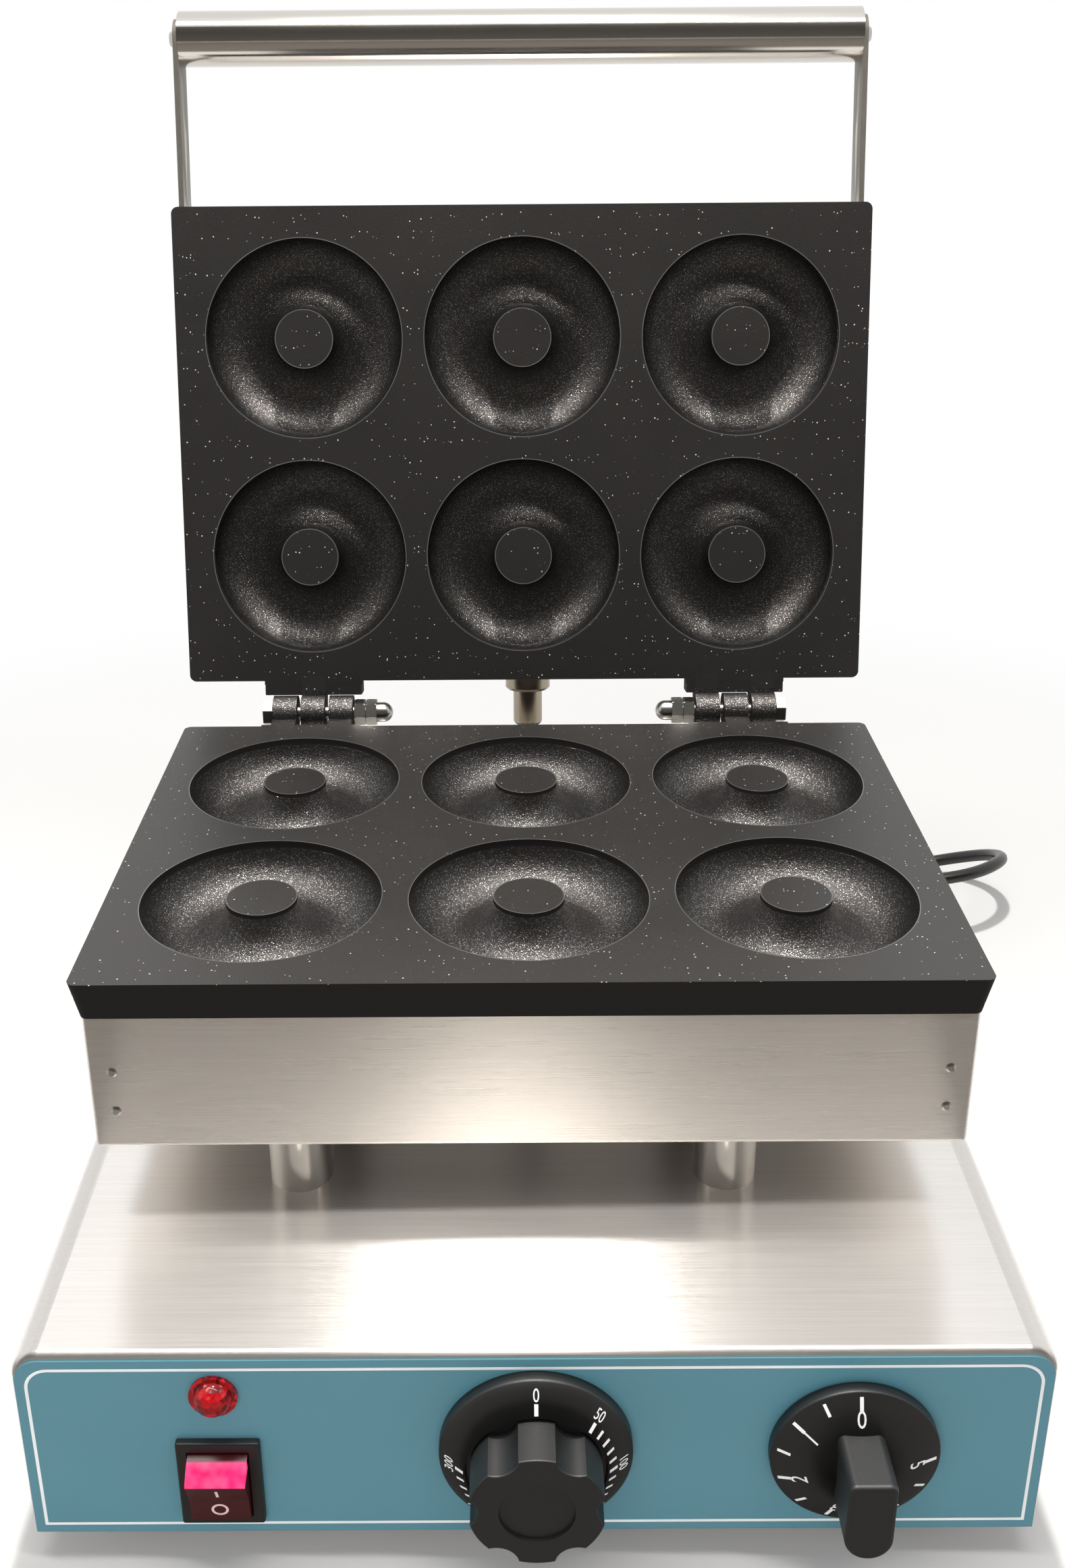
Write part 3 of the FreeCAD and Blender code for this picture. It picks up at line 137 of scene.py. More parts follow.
def add(tree, kind, inputs=(), **settings):
    """One node, with its settings and the sources of its input sockets."""
    made = tree.nodes.new(kind)
    for name, value in settings.items():
        setattr(made, name, value)
    for name, source in dict(inputs).items():
        feed(tree, made.inputs[name], source)
    return made


def maths(tree, operation, *sources):
    """The result of an operation on numbers."""
    return add(tree, "ShaderNodeMath", dict(enumerate(sources)), operation=operation).outputs[0]


def reach_along(tree, place, direction):
    """How far a place or a vector reaches along a direction."""
    made = add(tree, "ShaderNodeVectorMath", {0: place, 1: direction}, operation="DOT_PRODUCT")
    return made.outputs["Value"]


def spread(tree, value, low, high, start=0.0, end=1.0):
    """The value from start to end taken from low to high."""
    inputs = {"Value": value, "From Min": start, "From Max": end, "To Min": low, "To Max": high}
    return add(tree, "ShaderNodeMapRange", inputs).outputs["Result"]


def choose(tree, mask, off, on):
    """The number off where the mask is zero, and on where it is one."""
    return add(tree, "ShaderNodeMix", {"Factor": mask, "A": off, "B": on}).outputs["Result"]


def blend_colours(tree, mask, first, second):
    """The first colour where the mask is zero, and the second where it is one."""
    mix = add(tree, "ShaderNodeMix", {"Factor": mask}, data_type="RGBA")
    low, high, result = [socket for socket in (*mix.inputs, *mix.outputs) if socket.type == "RGBA"]
    for socket, source in ((low, first), (high, second)):
        feed(tree, socket, (*source, 1) if isinstance(source, tuple) else source)
    return result


def noise(tree, place, scale, detail, roughness=0.5):
    """A cloudy pattern from 0 to 1."""
    inputs = {"Vector": place, "Scale": scale, "Detail": detail, "Roughness": roughness}
    return add(tree, "ShaderNodeTexNoise", inputs).outputs["Fac"]


def coloured_cells(tree, place, scale):
    """Small cells: the distance from a cell's middle, and random numbers that each cell keeps."""
    cells = add(tree, "ShaderNodeTexVoronoi", {"Vector": place, "Scale": scale})
    numbers = add(tree, "ShaderNodeSeparateColor", {0: cells.outputs["Color"]})
    return cells.outputs["Distance"], numbers.outputs


def raise_surface(tree, shader, height, strength, depth):
    """Relief from a pattern of heights."""
    bump = add(tree, "ShaderNodeBump", {"Strength": strength, "Distance": depth, "Height": height})
    feed(tree, shader.inputs["Normal"], bump.outputs["Normal"])


# Effects that several finishes share


def new_group(name, ins, outs):
    """An empty effect, with the sockets that feed it and the sockets of its results."""
    group = bpy.data.node_groups.new(name, "ShaderNodeTree")
    for label, kind, value in ins:
        socket = group.interface.new_socket(label, in_out="INPUT", socket_type=kind)
        socket.default_value = value
    for label in outs:
        group.interface.new_socket(label, in_out="OUTPUT", socket_type="NodeSocketFloat")
    return group, group.nodes.new("NodeGroupInput").outputs, group.nodes.new("NodeGroupOutput").inputs


def make_brushing():
    """Fine parallel scratches, long one way and close together the other."""
    group, start, end = new_group(
        "brushing",
        [("Vector", "NodeSocketVector", (0, 0, 0)), ("Closeness", "NodeSocketVector", (1, 1, 1))],
        ["Grain", "Clouds"],
    )
    inputs = {0: start["Vector"], 1: start["Closeness"]}
    stretch = add(group, "ShaderNodeVectorMath", inputs, operation="MULTIPLY")
    feed(group, end["Grain"], noise(group, stretch.outputs[0], scale=1.0, detail=4.0, roughness=0.7))
    feed(group, end["Clouds"], noise(group, start["Vector"], scale=14.0, detail=2.0))
    return group


def make_specks():
    """Sparse small dots of mixed sizes."""
    group, start, end = new_group(
        "specks",
        [
            ("Vector", "NodeSocketVector", (0, 0, 0)),
            ("Closeness", "NodeSocketFloat", 300.0),
            ("Size", "NodeSocketFloat", 0.2),
            ("Share", "NodeSocketFloat", 0.3),
        ],
        ["Mask"],
    )
    distance, numbers = coloured_cells(group, start["Vector"], start["Closeness"])
    inside = maths(group, "LESS_THAN", distance, maths(group, "MULTIPLY", numbers[0], start["Size"]))
    chosen = maths(group, "LESS_THAN", numbers[1], start["Share"])
    feed(group, end["Mask"], maths(group, "MULTIPLY", inside, chosen))
    return group


def make_grit():
    """Fine grainy relief, as on cast or moulded surfaces."""
    group, start, end = new_group(
        "grit",
        [("Vector", "NodeSocketVector", (0, 0, 0)), ("Closeness", "NodeSocketFloat", 900.0)],
        ["Height", "Patches"],
    )
    feed(group, end["Height"], noise(group, start["Vector"], start["Closeness"], detail=3.0, roughness=0.65))
    feed(group, end["Patches"], noise(group, start["Vector"], scale=22.0, detail=3.0))
    return group


BRUSHING = make_brushing()
SPECKS = make_specks()
GRIT = make_grit()


def place_group(tree, group, **inputs):
    """An effect on object coordinates."""
    inputs["Vector"] = add(tree, "ShaderNodeTexCoord").outputs["Object"]
    return add(tree, "ShaderNodeGroup", inputs, node_tree=group).outputs


# Finishes: linear colours, patterns in cells for each metre, relief as a strength and a depth in metres

STEEL_PLAIN_ROUGHNESS = 0.3
STEEL_RELIEF = (0.14, 0.0002)

TUBE_COLOUR = (0.66, 0.63, 0.59)
TUBE_PLAIN_ROUGHNESS = 0.13
TUBE_ROUGHNESS = (0.09, 0.2)
TUBE_SCRATCHES = (8, 700, 700)
TUBE_RELIEF = (0.06, 0.0002)

COAT_COLOUR = (0.007, 0.0068, 0.0068)
COAT_TINT = (1, 0.94, 0.9, 1)
COAT_PLAIN_ROUGHNESS = 0.4
COAT_FACE_ROUGHNESS = (0.38, 0.5)
COAT_CAST_ROUGHNESS = 0.27
COAT_EDGE_ROUGHNESS = 0.85
COAT_GLEAM = (0.35, 0.9)
COAT_GRAIN = 1500.0
COAT_RELIEF = (0.8, 0.0004)
COAT_RELIEF_SHARE = (0.25, 1.0)
COAT_LEAST_TURN = 0.1
GROUND_DEPTH = 0.0003
SPECK_COLOUR = (0.52, 0.51, 0.49)
FLAKE_COLOUR = (0.45, 0.44, 0.43)

PATCH_SHADES = (0.8, 1.16)
PATCH_ROUGHNESS = 0.1
PATCH_RELIEF = (0.08, 0.0002)

PANEL_COLOUR = (0.09, 0.25, 0.312)
PANEL_SHADES = ((0.083, 0.238, 0.298), (0.097, 0.262, 0.326))
PANEL_ROUGHNESS = 0.42
PANEL_GRAIN = 1200.0
PANEL_RELIEF = (0.05, 0.0002)

BLACK_COLOUR = (0.008, 0.008, 0.008)
BLACK_SMOOTHER = 0.06
BLACK_ROUGHER = 0.08
BLACK_RELIEF = (0.12, 0.0003)

LENS_COLOUR = (0.2, 0.004, 0.006)
LENS_SHADES = ((0.07, 0.001, 0.002), (0.55, 0.004, 0.009))
LENS_ROUGHNESS = 0.3
LENS_CUTS = 520.0
LENS_RELIEF = (0.9, 0.001)

ROCKER_COLOUR = (0.2, 0.004, 0.01)
# Lighter shade, faint glow and pink glow of the rocker: painted highlight and painted glow standing in for
# overhead light shining into its raised end
ROCKER_SHADES_WITH_PAINTED_HIGHLIGHT = ((0.04, 0.0015, 0.003), (0.35, 0.01, 0.07))
ROCKER_FAINT_PAINTED_GLOW = (0.006, 0.0002, 0.0004)
ROCKER_PAINTED_GLOW = ((0.86, 0.008, 0.14), (0.9, 0.13, 0.3))
ROCKER_PAINTED_GLOW_STRENGTH = 0.8
ROCKER_ROUGHNESS = 0.25
# Blotches in the rocker's painted glow, and where that painted glow begins and ends
PAINTED_GLOW_BLOTCHES = 260.0
PAINTED_GLOW_BLOTCH_RANGE = (-0.6, 1.6)
PAINTED_GLOW_EDGE = (-0.0001, 0.0002)
PAINTED_GLOW_DEPTH = (0.0018, 0.0026)


def new_finish(name, colour, roughness, metallic=0.0, **sockets):
    """A material with plain values set on its shader, ready for an effect."""
    material = bpy.data.materials.new(name)
    material.use_nodes = True
    material.diffuse_color = (*colour, 1)
    shader = material.node_tree.nodes["Principled BSDF"]
    shader.inputs["Base Color"].default_value = (*colour, 1)
    shader.inputs["Roughness"].default_value = roughness
    shader.inputs["Metallic"].default_value = metallic
    for label, value in sockets.items():
        shader.inputs[label.replace("_", " ")].default_value = value
    return material, material.node_tree, shader


def brushed_steel(name, closeness, dark, bright, smooth, rough):
    """Highlights stretch across the scratches, which run along the hinge."""
    material, tree, shader = new_finish(name, bright, STEEL_PLAIN_ROUGHNESS, 1.0, Anisotropic=1.0)
    across = add(tree, "ShaderNodeTangent", direction_type="RADIAL", axis="X")
    feed(tree, shader.inputs["Tangent"], across.outputs["Tangent"])
    grain = place_group(tree, BRUSHING, Closeness=closeness)["Grain"]
    feed(tree, shader.inputs["Base Color"], blend_colours(tree, grain, dark, bright))
    feed(tree, shader.inputs["Roughness"], spread(tree, grain, smooth, rough))
    raise_surface(tree, shader, grain, *STEEL_RELIEF)
    return material


def polished_steel():
    """Bright steel with fine scratches and cloudy gloss."""
    material, tree, shader = new_finish("polished_tube", TUBE_COLOUR, TUBE_PLAIN_ROUGHNESS, 1.0)
    scratches = place_group(tree, BRUSHING, Closeness=TUBE_SCRATCHES)
    feed(tree, shader.inputs["Roughness"], spread(tree, scratches["Clouds"], *TUBE_ROUGHNESS))
    raise_surface(tree, shader, scratches["Grain"], *TUBE_RELIEF)
    return material


def non_stick(name, outward, level):
    """Dark coating: satin with specks on the ground face, glittering where it is cast, dull on the edges."""
    material, tree, shader = new_finish(name, COAT_COLOUR, COAT_PLAIN_ROUGHNESS, Specular_Tint=COAT_TINT)
    spot = add(tree, "ShaderNodeTexCoord").outputs
    coated = maths(tree, "GREATER_THAN", reach_along(tree, spot["Normal"], outward), COAT_LEAST_TURN)
    ground = maths(tree, "COMPARE", reach_along(tree, spot["Object"], outward), level, GROUND_DEPTH)
    cast = maths(tree, "MULTIPLY", coated, spread(tree, ground, 1.0, 0.0))
    dots = place_group(tree, SPECKS, Closeness=620.0, Size=0.19, Share=0.42)
    specks = maths(tree, "MULTIPLY", dots["Mask"], ground)
    shavings = place_group(tree, SPECKS, Closeness=3200.0, Size=0.7, Share=0.34)
    flakes = maths(tree, "MULTIPLY", shavings["Mask"], cast)
    glitter = blend_colours(tree, flakes, COAT_COLOUR, FLAKE_COLOUR)
    feed(tree, shader.inputs["Base Color"], blend_colours(tree, specks, glitter, SPECK_COLOUR))
    feed(tree, shader.inputs["Metallic"], flakes)
    feed(tree, shader.inputs["Specular IOR Level"], spread(tree, coated, *COAT_GLEAM))
    grit = place_group(tree, GRIT, Closeness=COAT_GRAIN)
    worn = spread(tree, grit["Patches"], *COAT_FACE_ROUGHNESS)
    rough = choose(tree, cast, worn, COAT_CAST_ROUGHNESS)
    feed(tree, shader.inputs["Roughness"], choose(tree, coated, COAT_EDGE_ROUGHNESS, rough))
    relief = maths(tree, "MULTIPLY", grit["Height"], spread(tree, cast, *COAT_RELIEF_SHARE))
    raise_surface(tree, shader, relief, *COAT_RELIEF)
    return material


def patchy(name, colour, roughness, metallic=0.0, closeness=900.0):
    """A plain finish, a little uneven in colour, gloss and relief."""
    material, tree, shader = new_finish(name, colour, roughness, metallic)
    grit = place_group(tree, GRIT, Closeness=closeness)
    low, high = (tuple(min(share * c, 1.0) for c in colour) for share in PATCH_SHADES)
    feed(tree, shader.inputs["Base Color"], blend_colours(tree, grit["Patches"], low, high))
    gloss = spread(tree, grit["Patches"], roughness - PATCH_ROUGHNESS, roughness + PATCH_ROUGHNESS)
    feed(tree, shader.inputs["Roughness"], gloss)
    raise_surface(tree, shader, grit["Height"], *PATCH_RELIEF)
    return material


def panel_print():
    """Blue film with a faint grain."""
    material, tree, shader = new_finish("blue_panel", PANEL_COLOUR, PANEL_ROUGHNESS)
    grit = place_group(tree, GRIT, Closeness=PANEL_GRAIN)
    feed(tree, shader.inputs["Base Color"], blend_colours(tree, grit["Patches"], *PANEL_SHADES))
    raise_surface(tree, shader, grit["Height"], *PANEL_RELIEF)
    return material


def moulded_black(name, roughness, closeness=1400.0, gleam=0.8):
    """Black plastic or rubber with a grained skin."""
    material, tree, shader = new_finish(name, BLACK_COLOUR, roughness, Specular_IOR_Level=gleam)
    grit = place_group(tree, GRIT, Closeness=closeness)
    gloss = spread(tree, grit["Patches"], roughness - BLACK_SMOOTHER, roughness + BLACK_ROUGHER)
    feed(tree, shader.inputs["Roughness"], gloss)
    raise_surface(tree, shader, grit["Height"], *BLACK_RELIEF)
    return material


def lamp_red():
    """Clear red cap with a cut pattern inside."""
    material, tree, shader = new_finish(
        "red_lens", LENS_COLOUR, LENS_ROUGHNESS, Coat_Weight=0.6, Coat_Roughness=0.04, Specular_IOR_Level=0.2
    )
    spot = add(tree, "ShaderNodeTexCoord").outputs["Object"]
    distance, numbers = coloured_cells(tree, spot, LENS_CUTS)
    feed(tree, shader.inputs["Base Color"], blend_colours(tree, numbers[0], *LENS_SHADES))
    raise_surface(tree, shader, distance, *LENS_RELIEF)
    return material


def rocker_red():
    """Dark red rocker, clear at the raised end, where a painted pink glow and a painted highlight stand in
    for overhead light shining into it.
    """
    material, tree, shader = new_finish("red_rocker", ROCKER_COLOUR, ROCKER_ROUGHNESS, Specular_IOR_Level=0.4)
    pivot, up = rocker_frame()
    spot = add(tree, "ShaderNodeTexCoord").outputs["Object"]
    offset = add(tree, "ShaderNodeVectorMath", {0: spot, 1: pivot * MM}, operation="SUBTRACT").outputs[0]
    outward = Vector((1, 0, 0)).cross(up)
    edge = [rocker_end() * MM + share for share in PAINTED_GLOW_EDGE]
    beyond = spread(tree, reach_along(tree, offset, up), 0.0, 1.0, *edge)
    clear = spread(tree, reach_along(tree, offset, outward), 0.0, 1.0, *PAINTED_GLOW_DEPTH)
    # The raised end's top: painted highlight in the base colour and painted glow in the emission, for the
    # overhead light that falls into it
    painted_light_mask = maths(tree, "MULTIPLY", beyond, clear)
    painted_glow_blotches = spread(tree, noise(tree, spot, PAINTED_GLOW_BLOTCHES, detail=1.0), *PAINTED_GLOW_BLOTCH_RANGE)
    painted_glow = blend_colours(tree, painted_glow_blotches, *ROCKER_PAINTED_GLOW)
    feed(tree, shader.inputs["Base Color"], blend_colours(tree, painted_light_mask, *ROCKER_SHADES_WITH_PAINTED_HIGHLIGHT))
    feed(tree, shader.inputs["Emission Color"], blend_colours(tree, painted_light_mask, ROCKER_FAINT_PAINTED_GLOW, painted_glow))
    shader.inputs["Emission Strength"].default_value = ROCKER_PAINTED_GLOW_STRENGTH
    return material


STEEL_BASE = brushed_steel(
    "brushed_base_steel",
    closeness=(16, 2200, 2200),
    dark=(0.66, 0.635, 0.605),
    bright=(0.92, 0.89, 0.855),
    smooth=0.26,
    rough=0.34,
)
STEEL_HOUSING = brushed_steel(
    "brushed_housing_steel",
    closeness=(16, 2200, 2200),
    dark=(0.66, 0.63, 0.595),
    bright=(0.92, 0.885, 0.845),
    smooth=0.24,
    rough=0.33,
)
# The bars' steel, much darker and browner than the other steel: painted reflection of a dark room, standing
# in for what the bars reflect
STEEL_BAR_PAINTED_DARK = brushed_steel(
    "brushed_bar_steel_painted_dark",
    closeness=(1300, 1300, 16),
    dark=(0.2, 0.185, 0.165),
    bright=(0.32, 0.3, 0.27),
    smooth=0.3,
    rough=0.45,
)
POLISHED = polished_steel()
ZINC = patchy("bright_fastener", (0.5, 0.49, 0.465), roughness=0.28, metallic=1.0, closeness=400.0)
# Chrome conduit fittings made dark and brown: painted reflection of dark, warm surroundings
FITTING_PAINTED_REFLECTION = patchy("fitting_painted_brown_reflection", (0.34, 0.29, 0.22), roughness=0.22, metallic=1.0, closeness=400.0)
COATING_LOWER = non_stick("lower_plate_coating", *plate_face("lower"))
COATING_UPPER = non_stick("upper_plate_coating", *plate_face("upper"))
PANEL_BLUE = panel_print()
KNOB_BLACK = moulded_black("satin_black_plastic", roughness=0.48)
MATT_BLACK = moulded_black("matt_black_plastic", roughness=0.46)
RUBBER = moulded_black("black_rubber", roughness=0.3, closeness=700.0, gleam=0.5)
LENS_RED = lamp_red()
ROCKER_RED = rocker_red()
PRINT_WHITE = patchy("white_print", (0.82, 0.83, 0.83), roughness=0.45)
PINK_PRINT = patchy("pink_print", (0.72, 0.5, 0.5), roughness=0.4)
# Lighter rings at the cavity and post rims: painted highlight standing in for light caught by rounded edges
RIM_PAINTED_HIGHLIGHT = patchy("rim_painted_highlight", (0.2, 0.195, 0.19), roughness=0.35, metallic=0.6)
HEATER_STEEL = patchy("heater_sheath", (0.2, 0.17, 0.15), roughness=0.45, metallic=1.0)
COPPER = patchy("copper_bulb", (0.6, 0.31, 0.18), roughness=0.3, metallic=1.0)
PALE_PLASTIC = patchy("terminal_plastic", (0.7, 0.68, 0.61), roughness=0.5)
NICKEL = patchy("nickel_pins", (0.72, 0.68, 0.58), roughness=0.22, metallic=1.0)

FINISHES = {
    STEEL_BASE: ["base_shell", "rear_panel", "bottom_cover"],
    STEEL_HOUSING: ["lower_housing", "upper_housing"],
    STEEL_BAR_PAINTED_DARK: ["handle_bar_left", "handle_bar_right"],
    POLISHED: [
        "column_front_left", "column_front_right", "column_rear_left", "column_rear_right",
        "handle_tube", "conduit_gland",
    ],
    ZINC: [
        "column_bolts", "foot_screws", "rear_panel_screws", "hinge_bolts", "hinge_nuts",
        "hinge_cap_nuts", "handle_tube_screws", "handle_bar_screws", "handle_tube_plugs",
        "lower_housing_rivets", "upper_housing_rivets", "lower_heater_clamps", "upper_heater_clamps",
        "thermostat_shaft", "timer_shaft",
    ],
    FITTING_PAINTED_REFLECTION: ["conduit_nut", "conduit_ferrule"],
    COATING_LOWER: ["lower_mould_plate"],
    COATING_UPPER: ["upper_mould_plate"],
    HEATER_STEEL: ["lower_heater", "upper_heater"],
    COPPER: ["thermostat_bulb"],
    PANEL_BLUE: ["control_panel"],
    KNOB_BLACK: ["thermostat_scale", "thermostat_knob", "timer_knob", "switch_housing"],
    MATT_BLACK: [
        "thermostat_body", "timer_body", "lamp_holder", "plug_body", "cord_strain_relief", "cord_tie",
    ],
    LENS_RED: ["lamp_lens"],
    ROCKER_RED: ["switch_rocker"],
    PALE_PLASTIC: ["terminal_block"],
    RUBBER: ["foot_front_left", "foot_front_right", "foot_rear_left", "foot_rear_right"],
    NICKEL: ["plug_pins"],
}


def dress_nodes():
    """Each solid takes its finish."""
    for material, names in FINISHES.items():
        for name in names:
            mesh = NODES[name].data
            mesh.materials.clear()
            mesh.materials.append(material)


# Pieces


def piece(name, shape, body, material, place=None):
    """A finished bmesh as an object at the origin that rides on a body."""
    if place is not None:
        bmesh.ops.transform(shape, matrix=place, verts=shape.verts)
    bmesh.ops.scale(shape, vec=(MM, MM, MM), verts=shape.verts)
    mesh = bpy.data.meshes.new(name)
    shape.to_mesh(mesh)
    shape.free()
    mesh.materials.append(material)
    thing = bpy.data.objects.new(name, mesh)
    bpy.context.scene.collection.objects.link(thing)
    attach(thing, body)
    return thing


def facing_front(x, y, z):
    """A place on a surface that faces the user: its x to the right, its y up."""
    return Matrix.Translation((x, y, z)) @ Matrix.Rotation(math.radians(90), 4, "X")


def round_off(shape, geom, offset, affect, segments):
    """Corners or edges of a shape made round."""
    bmesh.ops.bevel(
        shape, geom=geom, offset=offset, affect=affect, segments=segments, profile=0.5, material=-1
    )


def spin_round(shape, geom, steps):
    """A profile turned about the z axis into a closed ring."""
    bmesh.ops.spin(
        shape, geom=geom, cent=(0, 0, 0), axis=(0, 0, 1), angle=math.tau, steps=steps, use_merge=True
    )
    bmesh.ops.recalc_face_normals(shape, faces=shape.faces)


def add_bar(shape, size, place):
    """A flat mark, standing proud of the surface it is printed on."""
    wide, tall = size
    bmesh.ops.create_cube(shape, size=1, matrix=place @ Matrix.Diagonal((wide, tall, PROUD * 2, 1)))


# How much of a font's full size its figures are high
FIGURE_SHARE = 0.7


def add_text(shape, words, height, place, narrow):
    """Figures of that height, centred on the place."""
    curve = bpy.data.curves.new("figures", "FONT")
    curve.body = words
    curve.align_x = "CENTER"
    curve.align_y = "CENTER"
    curve.size = height / FIGURE_SHARE
    curve.extrude = PROUD
    curve.resolution_u = 3
    thing = bpy.data.objects.new("figures", curve)
    mesh = bpy.data.meshes.new_from_object(thing)
    mesh.transform(place @ Matrix.Diagonal((narrow, 1, 1, 1)))
    shape.from_mesh(mesh)
    bpy.data.objects.remove(thing)
    bpy.data.curves.remove(curve)
    bpy.data.meshes.remove(mesh)


def add_ring(shape, radius, width, place, steps):
    """A flat ring standing proud of a surface."""
    around = bmesh.new()
    inner = radius - width
    corners = [(inner, -PROUD), (radius, -PROUD), (radius, PROUD), (inner, PROUD)]
    ring = [around.verts.new((r, 0, z)) for r, z in corners]
    edges = [around.edges.new((a, b)) for a, b in zip(ring, ring[1:] + ring[:1])]
    spin_round(around, ring + edges, steps)
    bmesh.ops.transform(around, matrix=place, verts=around.verts)
    mesh = bpy.data.meshes.new("ring")
    around.to_mesh(mesh)
    around.free()
    shape.from_mesh(mesh)
    bpy.data.meshes.remove(mesh)


def make_panel_border():
    """A thin white line round the panel, round at its upper corners."""
    low, high = span("control_panel")
    left, right = low.x + BORDER_INSET, high.x - BORDER_INSET
    bottom, top = low.z + BORDER_INSET, high.z - BORDER_INSET
    places = [(left, bottom, 0), (right, bottom, 0), (right, top, 0), (left, top, 0)]
    shape = bmesh.new()
    corners = [shape.verts.new(c) for c in places]
    shape.faces.new(corners)
    round_off(shape, corners[2:], BORDER_ROUND, "VERTICES", segments=8)
    field = list(shape.faces)
    bmesh.ops.inset_region(
        shape, faces=field, thickness=BORDER_WIDTH, use_even_offset=True, use_boundary=True
    )
    bmesh.ops.delete(shape, geom=field, context="FACES")
    raised = bmesh.ops.extrude_face_region(shape, geom=list(shape.faces))
    moved = [v for v in raised["geom"] if isinstance(v, bmesh.types.BMVert)]
    bmesh.ops.translate(shape, verts=moved, vec=(0, 0, PROUD))
    bmesh.ops.recalc_face_normals(shape, faces=shape.faces)
    piece("panel_border", shape, "base", PRINT_WHITE, facing_front(0, low.y, 0))


# Both dials have a sloping face: radius and height over the panel at its rim and at its inner edge

SCALE_RIM = (30.05, 3.8)
SCALE_INNER = (21.8, 10.6)
SCALE_BACK = 0.1
SKIRT_RIM = (26.3, 4.25)
SKIRT_INNER = (7.4, 11.95)
SKIRT_BACK = 0.6
SLOPE_ROUND = 0.5
SLOPE_STEPS = 96


def dial_centre(node):
    """The middle of a round control on the panel's face, its x to the right, its y up, its z out."""
    low, high = span(node)
    panel, _ = span("control_panel")
    return facing_front((low.x + high.x) / 2, panel.y, (low.z + high.z) / 2)


def make_slope(name, rim, inner, back, centre, body):
    """A ring with a sloping face, a rounded rim and a plain back."""
    shape = bmesh.new()
    corners = [(inner[0], back), (rim[0], back), rim, inner]
    outline = [shape.verts.new((radius, 0, height)) for radius, height in corners]
    shape.faces.new(outline)
    round_off(shape, [outline[2]], SLOPE_ROUND, "VERTICES", segments=3)
    section = list(shape.verts) + list(shape.edges)
    bmesh.ops.delete(shape, geom=list(shape.faces), context="FACES_ONLY")
    spin_round(shape, section, SLOPE_STEPS)
    for face in shape.faces:
        face.smooth = True
    piece(name, shape, body, KNOB_BLACK, centre)


def on_slope(rim, inner, angle, down):
    """A place on a sloping face, so far in from its rim, clockwise from the top, to read from the outside."""
    across = Vector(inner) - Vector(rim)
    radius, height = Vector(rim) + across.normalized() * down
    lean = math.atan2(across.y, -across.x)
    turn = Matrix.Rotation(math.radians(-angle), 4, "Z")
    return turn @ Matrix.Translation((0, radius, height)) @ Matrix.Rotation(-lean, 4, "X")


# Thermostat scale: angles in degrees, marks as width and length, places down the slope from the rim

THERMOSTAT_FIRST = 46.0
THERMOSTAT_STEP = 44.6
THERMOSTAT_MARKS = [50, 100, 150, 200, 250, 300]
THERMOSTAT_PARTS = 5
ZERO_HEIGHT = 3.9
ZERO_DOWN = 4.4
ZERO_NARROW = 0.75
ZERO_TICK = (1.2, 3.3)
DEGREE_HEIGHT = 3.6
DEGREE_DOWN = 4.3
DEGREE_NARROW = 0.72
DEGREE_TICK = (1.15, 3.2)
PART_TICK = (0.9, 2.9)
DEGREE_TICK_DOWN = 8.3


def make_thermostat_print():
    """A fixed bezel with figures near its rim and ticks inside them."""
    centre = dial_centre("thermostat_scale")
    make_slope("thermostat_bezel", SCALE_RIM, SCALE_INNER, SCALE_BACK, centre, "base")
    shape = bmesh.new()
    add_text(shape, "0", ZERO_HEIGHT, on_slope(SCALE_RIM, SCALE_INNER, 0, ZERO_DOWN), ZERO_NARROW)
    add_bar(shape, ZERO_TICK, on_slope(SCALE_RIM, SCALE_INNER, 0, DEGREE_TICK_DOWN))
    for count, mark in enumerate(THERMOSTAT_MARKS):
        angle = THERMOSTAT_FIRST + THERMOSTAT_STEP * count
        place = on_slope(SCALE_RIM, SCALE_INNER, angle, DEGREE_DOWN)
        add_text(shape, str(mark), DEGREE_HEIGHT, place, DEGREE_NARROW)
        for part in range(THERMOSTAT_PARTS if mark < THERMOSTAT_MARKS[-1] else 1):
            tick = angle + THERMOSTAT_STEP * part / THERMOSTAT_PARTS
            size = DEGREE_TICK if part == 0 else PART_TICK
            add_bar(shape, size, on_slope(SCALE_RIM, SCALE_INNER, tick, DEGREE_TICK_DOWN))
    piece("thermostat_figures", shape, "base", PRINT_WHITE, centre)


# Timer skirt, in the same measures

TIMER_STEP = 54.0
TIMER_MINUTES = 5
MINUTE_HEIGHT = 5.4
MINUTE_DOWN = 8.8
MINUTE_NARROW = 0.8
MINUTE_TICK = (1.15, 4.4)
HALF_TICK = (1.0, 4.2)
MINUTE_TICK_DOWN = 3.8


def make_timer_print():
    """Minutes on the turning skirt, counted to the left from the top."""
    centre = dial_centre("timer_knob")
    make_slope("timer_slope", SKIRT_RIM, SKIRT_INNER, SKIRT_BACK, centre, "timer_knob")
    shape = bmesh.new()
    for minute in range(TIMER_MINUTES + 1):
        angle = -TIMER_STEP * minute
        place = on_slope(SKIRT_RIM, SKIRT_INNER, angle, MINUTE_DOWN)
        add_text(shape, str(minute), MINUTE_HEIGHT, place, MINUTE_NARROW)
        add_bar(shape, MINUTE_TICK, on_slope(SKIRT_RIM, SKIRT_INNER, angle, MINUTE_TICK_DOWN))
        if minute < TIMER_MINUTES:
            half = angle - TIMER_STEP / 2
            add_bar(shape, HALF_TICK, on_slope(SKIRT_RIM, SKIRT_INNER, half, MINUTE_TICK_DOWN))
    piece("timer_figures", shape, "timer_knob", PRINT_WHITE, centre)


